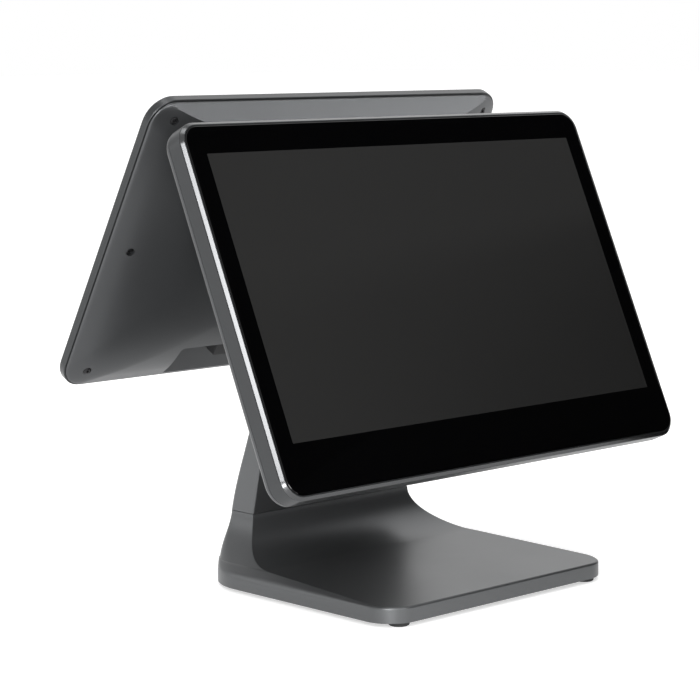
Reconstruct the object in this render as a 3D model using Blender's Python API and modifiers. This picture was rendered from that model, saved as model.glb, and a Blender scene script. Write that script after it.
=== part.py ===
"""Dual-screen point-of-sale terminal, modelled as the assembly of parts it is made from.

Metres, +Z up, +X to the operator's right, +Y away from the operator. The origin lies on the counter,
under the middle of the whole terminal. Each display is built in its own frame: x to the side, y from
the front of its glass towards its back, z up along the glass, with the origin at its outline's centre.
"""

import math

import bmesh
import bpy
from mathutils import Matrix, Vector

GAP = 0.0003          # clearance between pieces that touch
RUNNING = 0.00006     # radial clearance of a shaft in its hole
OVERSHOOT = 0.005     # how far a cutter runs past the face that it opens

# Stand: the foot
BASE_HALF_WIDTH = 0.109
BASE_FRONT = -0.139
BASE_REAR = 0.057
BASE_BOTTOM = 0.003
BASE_EDGE_TOP = 0.013
BASE_TOP = 0.018
BASE_BAND = 0.008     # width of the bevelled band round the top
BASE_FRONT_RADIUS = 0.022
BASE_REAR_RADIUS = 0.043
BASE_WALL = 0.003
TOP_SLOPE = 0.0372    # fall of the top towards the front, for each metre
TOP_LEVEL_Y = -0.0125 # where the sloping top would reach its full height
FOOT_RADIUS = 0.007
FOOT_PLACES = ((-0.091, -0.129), (0.091, -0.129), (-0.080, 0.029), (0.080, 0.029))
CABLE_EXIT_HALF_WIDTH = 0.017
CABLE_EXIT_TOP = 0.0125
BOTTOM_COVER_THICKNESS = 0.0015
BALLAST_HALF_WIDTH = 0.095
BALLAST_LOW = 0.0052
BALLAST_HIGH = 0.0092

# Stand: the sweep from the foot up into the neck, a quarter ellipse seen from the side
SWEEP_CENTRE_Y = -0.015
SWEEP_TOP = 0.048
SWEEP_REACH = 0.045
SWEEP_RISE = 0.030
SWEEP_START_DEG = 8.0
FLARE_WIDTH = 0.0240  # how much wider the sweep's foot is than the neck, on each side
FLARE_RADIUS = 0.025  # how much rounder its rear corners get
SWEEP_STEPS = 8

# Stand: the neck
NECK_HALF_WIDTH = 0.076
NECK_TOP = 0.222
NECK_LEAN = 0.215     # how far the front face comes forward for each metre of height
NECK_REAR_AT_SWEEP = 0.0558
NECK_THIN = 0.0145    # thickness that the neck settles to near its top
NECK_WALL = 0.0025
NECK_CORNER = 0.005
NECK_STEPS = 9
NECK_FADE = 0.057     # height over which the thickness settles
SPINE_HALF_WIDTH = 0.055
SPINE_THICKNESS = 0.003
SPINE_FOOT_FRONT = -0.060
SPINE_FOOT_LOW = 0.0095
COVER_HALF_WIDTH = 0.067
COVER_THICKNESS = 0.0022
COVER_TOP = 0.214
CABLE_SLOT_HALF_WIDTH = 0.022
CABLE_SLOT_LOW = 0.150
CABLE_SLOT_HIGH = 0.164

# Hinges: both axes run along X through the cast head on top of the neck
MAIN_AXIS = (-0.009, 0.240)
CUSTOMER_AXIS = (0.017, 0.232)
HEAD_HALF_WIDTH = 0.033
HEAD_RADIUS = 0.010
KNUCKLE_RADIUS = 0.009
KNUCKLE_WIDTH = 0.005
SHAFT_RADIUS = 0.005
SHAFT_HALF_LENGTH = 0.048
NUT_RADIUS = 0.008
NUT_WIDTH = 0.007

# Main display
MAIN_WIDTH = 0.379
MAIN_HEIGHT = 0.2525
MAIN_CENTRE = (-0.0818, 0.2091)
MAIN_TILT = math.radians(24.0)
MAIN_FRAME_DEPTH = 0.0143
MAIN_DEPTH = 0.038
MAIN_RADIUS = 0.015
MAIN_CHAMFER = 0.0022
MAIN_ACTIVE_RISE = 0.0070   # the picture sits this far above the outline's centre
MAIN_BOSSES = ((-0.125, -0.050), (0.125, -0.050), (-0.125, 0.062), (0.125, 0.062))
MAIN_BAY_HALF_WIDTH = 0.105
MAIN_BAY_TOP = -0.072
MAIN_BAY_FLOOR = 0.020
SOCKET_WIDTHS = (0.009, 0.010, 0.0125, 0.0135, 0.0135, 0.0125)
SOCKET_PITCH = 0.028

# Customer display
CUSTOMER_WIDTH = 0.331
CUSTOMER_HEIGHT = 0.230
CUSTOMER_CENTRE = (0.0832, 0.2405)
CUSTOMER_TILT = math.radians(29.5)
CUSTOMER_FRAME_DEPTH = 0.008
CUSTOMER_DEPTH = 0.024
CUSTOMER_RADIUS = 0.019
CUSTOMER_CHAMFER = 0.0020
CUSTOMER_BOSSES = tuple((x, z) for z in (-0.100, 0.0, 0.102) for x in (-0.148, 0.148))
CUSTOMER_BAY_HALF_WIDTH = 0.074
CUSTOMER_BAY_TOP = -0.084
CUSTOMER_BAY_FLOOR = 0.0099

# Both displays
GLASS_INSET = 0.0034
FRAME_WALL = 0.0025
LEDGE = 0.008
SCREW_RADIUS = 0.0015
SCREW_HEAD_RADIUS = 0.0026
SCREW_HEAD_HEIGHT = 0.0016
SCREW_HOLE_RADIUS = 0.0018
POST_RADIUS = 0.0036
BRACKET_THICKNESS = 0.0025
MAIN_WALL = 0.0025
CUSTOMER_WALL = 0.0022

# Electronics behind the main screen, in the display's frame
BOARD_DEPTHS = (0.0170, 0.0186)
CARD_FRONT = 0.0215
COOLER_DEPTHS = (0.0195, 0.0315)
FIN_COUNT = 7
FIN_PITCH = 0.008
FIN_THICKNESS = 0.002
FAN_PLACE = (-0.070, 0.025)
FAN_HALF_WIDTH = 0.026
FAN_WELL_RADIUS = 0.0215
FAN_HUB_RADIUS = 0.009
ROTOR_HEIGHT = 0.0085
BLADE_COUNT = 9
VENTS_PER_GROUP = 8
VENT_PITCH = 0.0075
VENT_HALF_WIDTH = 0.00125

# Power button, in the right side wall of the main frame
BUTTON_HEIGHT = 0.012
BUTTON_THICKNESS = 0.004
BUTTON_PLACE = (0.010, -0.088)   # depth and height in the display's frame

PARTS = "pos_touchscreen_terminal"


def clear_scene():
    for thing in list(bpy.data.objects):
        bpy.data.objects.remove(thing)


def new_collection(name):
    group = bpy.data.collections.new(name)
    bpy.context.scene.collection.children.link(group)
    return group


def new_material(name, colour, roughness, metallic):
    made = bpy.data.materials.new(name)
    made.use_nodes = True
    shader = made.node_tree.nodes["Principled BSDF"]
    shader.inputs["Base Color"].default_value = (*colour, 1.0)
    shader.inputs["Roughness"].default_value = roughness
    shader.inputs["Metallic"].default_value = metallic
    return made


def add(name, mesh_builder, material=None, parent=None):
    """A part when it has a material, and otherwise a hidden cutter."""
    mesh = bpy.data.meshes.new(name)
    bmesh.ops.recalc_face_normals(mesh_builder, faces=mesh_builder.faces)
    mesh_builder.to_mesh(mesh)
    mesh_builder.free()
    made = bpy.data.objects.new(name, mesh)
    made.parent = parent
    if material:
        mesh.materials.append(material)
        parts.objects.link(made)
    else:
        cutters.objects.link(made)
        made.hide_render = True
        made.display_type = "WIRE"
    return made


def boolean(target, other, operation="DIFFERENCE"):
    modifier = target.modifiers.new(other.name, "BOOLEAN")
    modifier.operation = operation
    modifier.object = other
    return target


def box(low, high):
    return boxes([(low, high)])


def boxes(corners):
    builder = bmesh.new()
    for low, high in corners:
        low, high = Vector(low), Vector(high)
        scale = Matrix.Diagonal((*(high - low), 1.0))
        bmesh.ops.create_cube(builder, size=1.0, matrix=Matrix.Translation((low + high) / 2) @ scale)
    return builder


TURNS = {
    "X": Matrix.Rotation(math.pi / 2, 4, "Y"),
    "Y": Matrix.Rotation(math.pi / 2, 4, "X"),
    "Z": Matrix.Identity(4),
}


def cylinders(places, radius, length, axis, sides=24):
    """Equal cylinders centred on the places, all along one axis."""
    builder = bmesh.new()
    for place in places:
        bmesh.ops.create_cone(builder, cap_ends=True, segments=sides, radius1=radius, radius2=radius,
                              depth=length, matrix=Matrix.Translation(place) @ TURNS[axis])
    return builder


def hull(*shapes):
    """The convex solid round all the shapes, with its flat faces whole."""
    builder = bmesh.new()
    for shape in shapes:
        for vertex in shape.verts:
            builder.verts.new(vertex.co)
        shape.free()
    made = bmesh.ops.convex_hull(builder, input=builder.verts)
    spare = {v for v in made["geom_interior"] + made["geom_unused"] if isinstance(v, bmesh.types.BMVert)}
    bmesh.ops.delete(builder, geom=list(spare), context="VERTS")
    bmesh.ops.dissolve_limit(builder, angle_limit=0.001, verts=builder.verts, edges=builder.edges)
    return builder


def parallel_edges(builder, axis):
    return [e for e in builder.edges if abs((e.verts[0].co - e.verts[1].co).normalized()[axis]) > 0.999]


def round_corners(builder, axis, radius, segments):
    """Rounds the edges that run along this axis."""
    edges = parallel_edges(builder, axis)
    bmesh.ops.bevel(builder, geom=edges, offset=radius, segments=segments, profile=0.5, affect="EDGES")


def plate(width, height, front, back, radius, centre_z=0.0, chamfer=0.0, segments=6):
    """A rounded rectangle facing -Y, with its front edge chamfered."""
    half = Vector((width / 2, 0, height / 2))
    builder = box((-half.x, front, centre_z - half.z), (half.x, back, centre_z + half.z))
    round_corners(builder, 1, radius, segments)
    if chamfer:
        rim = [e for e in builder.edges if all(abs(v.co.y - front) < 1e-7 for v in e.verts)]
        bmesh.ops.bevel(builder, geom=rim, offset=chamfer, segments=1, affect="EDGES")
    return builder


def outline(left, right, low, high, low_radius, high_radius, steps=6):
    """Points round a rectangle whose low and high corners have their own radii."""
    points = []
    corners = ((right - low_radius, low + low_radius, low_radius, -90),
               (right - high_radius, high - high_radius, high_radius, 0),
               (left + high_radius, high - high_radius, high_radius, 90),
               (left + low_radius, low + low_radius, low_radius, 180))
    for x, y, radius, start in corners:
        for step in range(steps + 1):
            angle = math.radians(start + 90 * step / steps)
            points.append((x + radius * math.cos(angle), y + radius * math.sin(angle)))
    return points


def loft(rings):
    """A closed skin through rings of equally many points, capped at both ends."""
    builder = bmesh.new()
    made = [[builder.verts.new(point) for point in ring] for ring in rings]
    for near, far in zip(made, made[1:]):
        for i in range(len(near)):
            j = (i + 1) % len(near)
            builder.faces.new((near[i], near[j], far[j], far[i]))
    builder.faces.new(made[0])
    builder.faces.new(made[-1])
    return builder


def at_height(points, z):
    return [(x, y, z) for x, y in points]


def at_depth(points, y):
    return [(x, y, z) for x, z in points]


def screw(name, material, parent, tip, length):
    """A cap screw turned about its own axis, with its tip towards the display's front."""
    full = length + SCREW_HEAD_HEIGHT
    profile = ((0.0, full), (SCREW_HEAD_RADIUS, full),
               (SCREW_HEAD_RADIUS, length), (SCREW_RADIUS, length), (SCREW_RADIUS, 0.0), (0.0, 0.0))
    builder = bmesh.new()
    points = [builder.verts.new((r, 0, y)) for r, y in profile]
    for near, far in zip(points, points[1:]):
        builder.edges.new((near, far))
    mesh = bpy.data.meshes.new(name)
    builder.to_mesh(mesh)
    builder.free()
    mesh.materials.append(material)
    made = bpy.data.objects.new(name, mesh)
    parts.objects.link(made)
    turned = made.modifiers.new("turned", "SCREW")
    turned.axis = "Z"
    turned.steps = turned.render_steps = 12
    turned.use_merge_vertices = True
    turned.merge_threshold = 0.00001
    made.parent = parent
    made.location = tip
    made.rotation_euler = (-math.pi / 2, 0, 0)
    return made


# ---------------------------------------------------------------- stand

def foot_outline(inset, rear_inset):
    return outline(-BASE_HALF_WIDTH + inset, BASE_HALF_WIDTH - inset, BASE_FRONT + inset,
                   BASE_REAR - rear_inset, BASE_FRONT_RADIUS - min(inset, BASE_WALL * 3),
                   BASE_REAR_RADIUS - rear_inset)


def neck_front(z):
    return SWEEP_CENTRE_Y + SWEEP_REACH - NECK_LEAN * (z - SWEEP_TOP)


def neck_rear(z):
    start = NECK_REAR_AT_SWEEP - (SWEEP_CENTRE_Y + SWEEP_REACH)
    return neck_front(z) + NECK_THIN + (start - NECK_THIN) * math.exp(-((z - SWEEP_TOP) / NECK_FADE) ** 2)


def sweep_slice(angle_deg, wall):
    """The horizontal outline of the sweep where its side profile reaches this angle."""
    angle = math.radians(angle_deg)
    z = SWEEP_TOP - (SWEEP_RISE + wall) * math.cos(angle)
    front = SWEEP_CENTRE_Y + (SWEEP_REACH + wall) * math.sin(angle)
    drop = min(1.0, (SWEEP_TOP - z) / SWEEP_RISE)
    half = NECK_HALF_WIDTH + FLARE_WIDTH * drop ** 1.9 - wall
    rear = NECK_REAR_AT_SWEEP + 0.0010 * drop - wall
    radius = max(NECK_CORNER + FLARE_RADIUS * drop ** 3 - wall, 0.0021)
    return at_height(outline(-half, half, front, rear, 0.002, radius), z)


def sweep(wall, low, high):
    """The flared stub: the outer skin when wall is 0, and otherwise the hollow inside it."""
    count = SWEEP_STEPS
    angles = [SWEEP_START_DEG + (90 - SWEEP_START_DEG) * i / count for i in range(count + 1)]
    rings = [sweep_slice(angle, wall) for angle in angles]
    rings.insert(0, [(x, y, low) for x, y, _ in rings[0]])
    if high > SWEEP_TOP:
        rings.append([(x, y, high) for x, y, _ in rings[-1]])
    return loft(rings)


def above_top(lower):
    """Everything above the foot's sloping top, or above a plane this far under it."""
    near, far = BASE_FRONT - 0.020, 0.040
    section = [(y, BASE_TOP - lower + TOP_SLOPE * (y - TOP_LEVEL_Y)) for y in (near, far)]
    section += [(far, SWEEP_TOP + 0.012), (near, SWEEP_TOP + 0.012)]
    return loft([[(x, y, z) for y, z in section] for x in (-0.15, 0.15)])


def base_shell():
    skin = loft([at_height(foot_outline(0, 0), BASE_BOTTOM),
                 at_height(foot_outline(0, 0), BASE_EDGE_TOP),
                 at_height(foot_outline(BASE_BAND, 0.001), BASE_TOP)])
    shell = add("base_shell", skin, paint)
    boolean(shell, add("top_slope_cut", above_top(0.0)))
    boolean(shell, add("sweep_union", sweep(0.0, 0.012, SWEEP_TOP)), "UNION")
    hollow = loft([at_height(foot_outline(BASE_WALL, BASE_WALL), BASE_BOTTOM - OVERSHOOT),
                   at_height(foot_outline(BASE_WALL, BASE_WALL), BASE_EDGE_TOP - 0.0015),
                   at_height(foot_outline(BASE_WALL + BASE_BAND, BASE_WALL + 0.001), BASE_TOP - BASE_WALL)])
    hollow = add("base_hollow_cut", hollow)
    boolean(hollow, add("hollow_slope_cut", above_top(BASE_WALL)))
    boolean(shell, hollow)
    boolean(shell, add("sweep_hollow_cut", sweep(BASE_WALL, 0.008, SWEEP_TOP + OVERSHOOT)))
    exit_cut = box((-CABLE_EXIT_HALF_WIDTH, BASE_REAR - 0.012, BASE_BOTTOM - OVERSHOOT),
                   (CABLE_EXIT_HALF_WIDTH, BASE_REAR + OVERSHOOT, CABLE_EXIT_TOP))
    boolean(shell, add("cable_exit_cut", exit_cut))


def base_bottom_cover():
    inset = BASE_WALL + GAP
    low = BASE_BOTTOM + 0.0002
    edge = foot_outline(inset, inset)
    cover = loft([at_height(edge, low), at_height(edge, low + BOTTOM_COVER_THICKNESS)])
    made = add("base_bottom_cover", cover, black_steel)
    notch = box((-CABLE_EXIT_HALF_WIDTH, BASE_REAR - 0.020, -OVERSHOOT),
                (CABLE_EXIT_HALF_WIDTH, BASE_REAR + OVERSHOOT, BASE_TOP))
    boolean(made, add("bottom_notch_cut", notch))


def rubber_feet():
    for number, (x, y) in enumerate(FOOT_PLACES, 1):
        height = BASE_BOTTOM - GAP
        pad = cylinders([(x, y, height / 2)], FOOT_RADIUS, height, "Z")
        add(f"rubber_foot_{number}", pad, rubber)


def ballast_plate():
    edge = outline(-BALLAST_HALF_WIDTH, BALLAST_HALF_WIDTH, BASE_FRONT + 0.016, 0.009, 0.012, 0.012, steps=4)
    add("ballast_plate", loft([at_height(edge, BALLAST_LOW), at_height(edge, BALLAST_HIGH)]), black_steel)


def stand_spine():
    """A flat foot on the ballast, bent up into an upright that stands close behind the neck's front wall."""
    half = SPINE_HALF_WIDTH
    offset = NECK_WALL + GAP * 2
    rear_foot = neck_front(SPINE_FOOT_LOW) + offset + SPINE_THICKNESS
    foot = box((-half, SPINE_FOOT_FRONT, SPINE_FOOT_LOW), (half, rear_foot, SPINE_FOOT_LOW + SPINE_THICKNESS))
    spine = add("stand_spine", foot, black_steel)
    upright = []
    for z in (SPINE_FOOT_LOW, NECK_TOP - 0.006):
        near = neck_front(z) + offset
        upright.append(flat_slice(z, half, near, near + SPINE_THICKNESS))
    upright = loft(upright)
    boolean(spine, add("spine_union", upright), "UNION")
    cable_window = box((-CABLE_SLOT_HALF_WIDTH, -0.05, 0.070), (CABLE_SLOT_HALF_WIDTH, 0.10, 0.172))
    boolean(spine, add("spine_window_cut", cable_window))


def flat_slice(z, half, near, far):
    return [(x, y, z) for x, y in ((-half, near), (half, near), (half, far), (-half, far))]


def neck_heights(top):
    bottom = SWEEP_TOP + GAP
    return [bottom + (top - bottom) * i / NECK_STEPS for i in range(NECK_STEPS + 1)]


def neck_shell():
    """A channel that is open at the back and at the bottom, with a slot in its top for the head's tongue."""
    rings = []
    hollow = []
    opening = []
    half = NECK_HALF_WIDTH
    for z in neck_heights(NECK_TOP):
        front, rear = neck_front(z), neck_rear(z)
        corner = min(NECK_CORNER, (rear - front) / 2.2)
        rings.append(at_height(outline(-half, half, front, rear, 0.002, corner), z))
    inner = half - NECK_WALL
    for z in (SWEEP_TOP - OVERSHOOT, *neck_heights(NECK_TOP - NECK_WALL)[1:]):
        hollow.append(flat_slice(z, inner, neck_front(z) + NECK_WALL, neck_rear(z) - NECK_WALL - GAP))
    for z in (SWEEP_TOP - OVERSHOOT, *neck_heights(COVER_TOP + GAP)[1:]):
        near = neck_front(z) + NECK_WALL + 0.001
        opening.append(flat_slice(z, COVER_HALF_WIDTH + GAP, near, neck_rear(z) + OVERSHOOT))
    shell = add("neck_shell", loft(rings), paint)
    boolean(shell, add("neck_hollow_cut", loft(hollow)))
    boolean(shell, add("neck_opening_cut", loft(opening)))
    boolean(shell, add("tongue_slot_cut", head_tongue(GAP)))


def head_tongue(margin):
    """The blade that goes down into the neck behind the spine."""
    near = NECK_WALL + SPINE_THICKNESS + GAP * 3
    return loft([flat_slice(z, HEAD_HALF_WIDTH - 0.001 + margin, neck_front(z) + near - margin,
                            neck_front(z) + near + 0.0045 + margin) for z in (0.178, 0.229)])


def neck_rear_cover():
    rings = []
    for z in neck_heights(COVER_TOP):
        rear = neck_rear(z)
        rings.append(flat_slice(z, COVER_HALF_WIDTH, rear - COVER_THICKNESS, rear))
    cover = add("neck_rear_cover", loft(rings), paint)
    half = CABLE_SLOT_HALF_WIDTH
    slot = box((-half, -0.02, CABLE_SLOT_LOW), (half, 0.06, CABLE_SLOT_HIGH))
    boolean(cover, add("cable_slot_cut", slot))


def hinge_head():
    """The casting that joins both shafts to the spine: a hull round them, with a tongue into the neck."""
    width = 2 * HEAD_HALF_WIDTH
    axes = [(0, *MAIN_AXIS), (0, *CUSTOMER_AXIS)]
    root = box((-HEAD_HALF_WIDTH, -0.007, NECK_TOP + 0.001), (HEAD_HALF_WIDTH, 0.011, NECK_TOP + 0.006))
    head = add("hinge_head", hull(cylinders(axes, HEAD_RADIUS, width, "X"), root), cast_metal)
    boolean(head, add("tongue_union", head_tongue(0.0)), "UNION")
    boolean(head, add("shaft_bores_cut", cylinders(axes, SHAFT_RADIUS + RUNNING, width * 1.2, "X", sides=32)))


def shaft_set(label, axis):
    """A shaft with a friction nut outside each knuckle."""
    place = (0, *axis)
    shaft = cylinders([place], SHAFT_RADIUS, 2 * SHAFT_HALF_LENGTH, "X", sides=32)
    add(f"{label}_hinge_shaft", shaft, bright_steel)
    for side, sign in (("left", -1), ("right", 1)):
        x = sign * (HEAD_HALF_WIDTH + KNUCKLE_WIDTH + 3 * GAP + NUT_WIDTH / 2)
        name = f"{label}_hinge_nut_{side}"
        nut = add(name, cylinders([(x, *axis)], NUT_RADIUS, NUT_WIDTH, "X", sides=6), bright_steel)
        hole = cylinders([(x, *axis)], SHAFT_RADIUS + RUNNING, NUT_WIDTH * 3, "X", sides=32)
        boolean(nut, add(f"{name}_cut", hole))


# ---------------------------------------------------------------- displays

def display_frame_empty(label, axis, centre, tilt, half_turn):
    """An empty on the hinge axis, turned with the display, and one in it at the display's own origin."""
    pivot = bpy.data.objects.new(f"{label}_tilt_axis", None)
    pivot.location = (0, *axis)
    pivot.rotation_euler = (-tilt, 0, math.pi if half_turn else 0)
    parts.objects.link(pivot)
    datum = bpy.data.objects.new(f"{label}_datum", None)
    datum.parent = pivot
    turned = Matrix.Rotation(math.pi if half_turn else 0, 3, "Z") @ Matrix.Rotation(-tilt, 3, "X")
    offset = turned.transposed() @ Vector((0, centre[0] - axis[0], centre[1] - axis[1]))
    datum.location = offset
    parts.objects.link(datum)
    return datum, -offset


def display_frame(label, size, depth, radius, chamfer, glass_back, datum):
    """The rim: a chamfered plate with a pocket for the glass, a ledge under it and a hollow behind."""
    width, height = size
    ledge_back = glass_back + GAP + 0.0014
    frame = add(f"{label}_frame", plate(width, height, GAP, depth, radius, chamfer=chamfer), paint, datum)
    inset = 2 * (GLASS_INSET - GAP)
    pocket = plate(width - inset, height - inset, -OVERSHOOT, glass_back + GAP, radius - GLASS_INSET)
    boolean(frame, add(f"{label}_pocket_cut", pocket, parent=datum))
    inset = 2 * (GLASS_INSET + LEDGE)
    window = plate(width - inset, height - inset, -OVERSHOOT, depth + OVERSHOOT, 0.004)
    boolean(frame, add(f"{label}_window_cut", window, parent=datum))
    inset = 2 * FRAME_WALL
    hollow = plate(width - inset, height - inset, ledge_back, depth + OVERSHOOT, radius - FRAME_WALL)
    boolean(frame, add(f"{label}_hollow_cut", hollow, parent=datum))
    inset = 2 * GLASS_INSET
    glass = plate(width - inset, height - inset, 0.0, glass_back, radius - GLASS_INSET, chamfer=0.0006)
    add(f"{label}_glass", glass, black_glass, datum)
    return frame, ledge_back + GAP


def drilled(places, depth, radius, length):
    """Cylinders through a display's depth, at places given as width and height."""
    return cylinders([(x, depth, z) for x, z in places], radius, length, "Y", sides=12)


def main_chassis(places, datum):
    """A sheet with a round post at each screw."""
    front, thickness = 0.0102, 0.0012
    sheet = add("main_chassis", plate(0.346, 0.228, front, front + thickness, 0.006, segments=3),
                black_steel, datum)
    start, end = front + thickness / 2, MAIN_DEPTH - MAIN_WALL - GAP
    posts = drilled(places, (start + end) / 2, POST_RADIUS, end - start)
    boolean(sheet, add("main_posts_union", posts, parent=datum), "UNION")
    holes = drilled(places, front + 0.004, SCREW_HOLE_RADIUS, 0.080)
    boolean(sheet, add("main_post_holes_cut", holes, parent=datum))


def main_back_rings(wall):
    """Rim first: the back swells from the frame to a flat middle."""
    half_x, half_z = MAIN_WIDTH / 2, MAIN_HEIGHT / 2
    front = MAIN_FRAME_DEPTH + GAP
    steps = ((front, 0.0003, 0.0147), (front + 0.003, 0.0006, 0.0145), (0.0205, 0.004, 0.014),
             (0.0335, 0.040, 0.012), (0.0365, 0.047, 0.011), (MAIN_DEPTH, 0.053, 0.010))
    rings = []
    for depth, inset, radius in steps:
        inset += wall
        radius -= wall
        points = outline(-half_x + inset, half_x - inset, -half_z + inset, half_z - inset, radius, radius)
        rings.append(at_depth(points, depth - wall if wall and depth > front else depth))
    if wall:
        rings[0] = [(x, front - OVERSHOOT, z) for x, _, z in rings[0]]
    return rings


def main_back_cover(datum):
    wall = MAIN_WALL
    cover = add("main_back_cover", loft(main_back_rings(0.0)), paint, datum)
    hollow = add("main_cover_hollow_cut", loft(main_back_rings(wall)), parent=datum)
    half, top, floor = MAIN_BAY_HALF_WIDTH, MAIN_BAY_TOP, MAIN_BAY_FLOOR
    bay_block = box((-half - wall, floor - wall, -0.120), (half + wall, 0.06, top + wall))
    boolean(hollow, add("main_bay_walls_cut", bay_block, parent=datum))
    boolean(cover, hollow)
    bay = box((-half, floor, -0.140), (half, 0.06, top))
    boolean(cover, add("main_bay_cut", bay, parent=datum))
    screw_holes = drilled(MAIN_BOSSES, 0.030, SCREW_HOLE_RADIUS, 0.040)
    boolean(cover, add("main_cover_holes_cut", screw_holes, parent=datum))
    slots = []
    for group in (-1, 1):
        for number in range(VENTS_PER_GROUP):
            x = group * (0.070 + VENT_PITCH * (number - (VENTS_PER_GROUP - 1) / 2))
            slots.append(((x - VENT_HALF_WIDTH, 0.030, 0.020), (x + VENT_HALF_WIDTH, 0.045, 0.058)))
    boolean(cover, add("main_vents_cut", boxes(slots), parent=datum))


def socket_block(name, widths, pitch, low, high, datum, material):
    """A bar of connectors: each socket is a hole that opens downwards."""
    block = add(name, box(low, high), material, datum)
    start = -pitch * (len(widths) - 1) / 2
    middle = (low[1] + high[1]) / 2
    half_depth = (high[1] - low[1]) / 2 - 0.0012
    holes = []
    for number, width in enumerate(widths):
        x = start + pitch * number
        holes.append(((x - width / 2, middle - half_depth, low[2] - OVERSHOOT),
                      (x + width / 2, middle + half_depth, high[2] - 0.002)))
    boolean(block, add(f"{name}_cut", boxes(holes), parent=datum))


def hinge_bracket(label, axis_local, plate_depth, plate_low, plate_high, half_width, holes, datum):
    """A plate on the display's back with an ear at each end of the hinge head."""
    depth, height = axis_local
    thickness = BRACKET_THICKNESS
    sheet = box((-half_width, plate_depth, plate_low), (half_width, plate_depth + thickness, plate_high))
    round_corners(sheet, 1, 0.006, 3)
    bracket = add(f"{label}_hinge_bracket", sheet, cast_metal, datum)
    near = HEAD_HALF_WIDTH + 2 * GAP
    for side in (-1, 1):
        x = side * (near + KNUCKLE_WIDTH / 2)
        knuckle = cylinders([(x, depth, height)], KNUCKLE_RADIUS, KNUCKLE_WIDTH, "X", sides=20)
        root = box((x - KNUCKLE_WIDTH / 2, plate_depth + 0.0005, height - 0.021),
                   (x + KNUCKLE_WIDTH / 2, plate_depth + thickness - 0.0005, height + 0.010))
        boolean(bracket, add(f"{label}_ear_{side}_union", hull(knuckle, root), parent=datum), "UNION")
    bore = cylinders([(0, depth, height)], SHAFT_RADIUS + RUNNING, 4 * HEAD_HALF_WIDTH, "X", sides=32)
    boolean(bracket, add(f"{label}_knuckle_cut", bore, parent=datum))
    screw_holes = drilled(holes, plate_depth, SCREW_HOLE_RADIUS, 0.02)
    boolean(bracket, add(f"{label}_bracket_holes_cut", screw_holes, parent=datum))


def heatsink(datum):
    """A finned block, drawn as its comb-shaped section and drawn out along the fins."""
    width = FIN_PITCH * (FIN_COUNT - 1) + FIN_THICKNESS
    low, top = COOLER_DEPTHS
    root = low + 0.003
    section = [(0, low), (width, low)]
    for number in reversed(range(FIN_COUNT)):
        left = FIN_PITCH * number
        section += [(left + FIN_THICKNESS, top), (left, top)]
        if number:
            section += [(left, root), (left - FIN_PITCH + FIN_THICKNESS, root)]
    x0, z0, z1 = 0.046, -0.005, 0.055
    add("heatsink", loft([[(x0 + x, y, z) for x, y in section] for z in (z0, z1)]), bare_aluminium, datum)


def blower(datum):
    """A square housing with a round well, and the rotor that turns in it."""
    x, z = FAN_PLACE
    low, high = COOLER_DEPTHS
    half = FAN_HALF_WIDTH
    case = box((x - half, low, z - half), (x + half, high, z + half))
    round_corners(case, 1, 0.004, 2)
    housing = add("fan_housing", case, black_plastic, datum)
    middle = (low + high) / 2 + 0.0015
    well = cylinders([(x, middle, z)], FAN_WELL_RADIUS, high - low, "Y", sides=32)
    boolean(housing, add("fan_well_cut", well, parent=datum))
    outlet = box((x + 0.012, low + 0.0015, z - 0.014), (x + 0.040, high - 0.0015, z + 0.014))
    boolean(housing, add("fan_outlet_cut", outlet, parent=datum))
    axle = bpy.data.objects.new("fan_axis", None)
    axle.parent = datum
    axle.location = (x, low + 0.0020, z)
    parts.objects.link(axle)
    height = ROTOR_HEIGHT
    hub = cylinders([(0, height / 2, 0)], FAN_HUB_RADIUS, height, "Y", sides=24)
    rotor = add("fan_rotor", hub, black_plastic, axle)
    blades = bmesh.new()
    lean = Matrix.Rotation(math.radians(25), 4, "Y")
    shape = Matrix.Diagonal((0.013, height - 0.0006, 0.0012, 1.0))
    outwards = Matrix.Translation((0.0132, height / 2, 0))
    for number in range(BLADE_COUNT):
        turn = Matrix.Rotation(2 * math.pi * number / BLADE_COUNT, 4, "Y")
        bmesh.ops.create_cube(blades, size=1.0, matrix=turn @ outwards @ lean @ shape)
    boolean(rotor, add("fan_blades_union", blades, parent=axle), "UNION")


def boards(datum):
    """The electronics between the chassis and the back cover."""
    low, high = BOARD_DEPTHS
    front = CARD_FRONT
    add("mainboard", box((-0.100, low, -0.066), (0.100, high, 0.070)), circuit_board, datum)
    add("memory_module", box((-0.070, front, -0.054), (-0.002, front + 0.0012, -0.024)), circuit_board, datum)
    drive = box((0.012, front, -0.048), (0.092, front + 0.0023, -0.026))
    add("solid_state_drive", drive, circuit_board, datum)
    for side, sign in (("left", -1), ("right", 1)):
        low, high = sorted((sign * 0.118, sign * 0.168))
        body = box((low, 0.0125, -0.103), (high, 0.0225, -0.081))
        round_corners(body, 1, 0.004, 2)
        add(f"speaker_{side}", body, black_plastic, datum)


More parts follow.
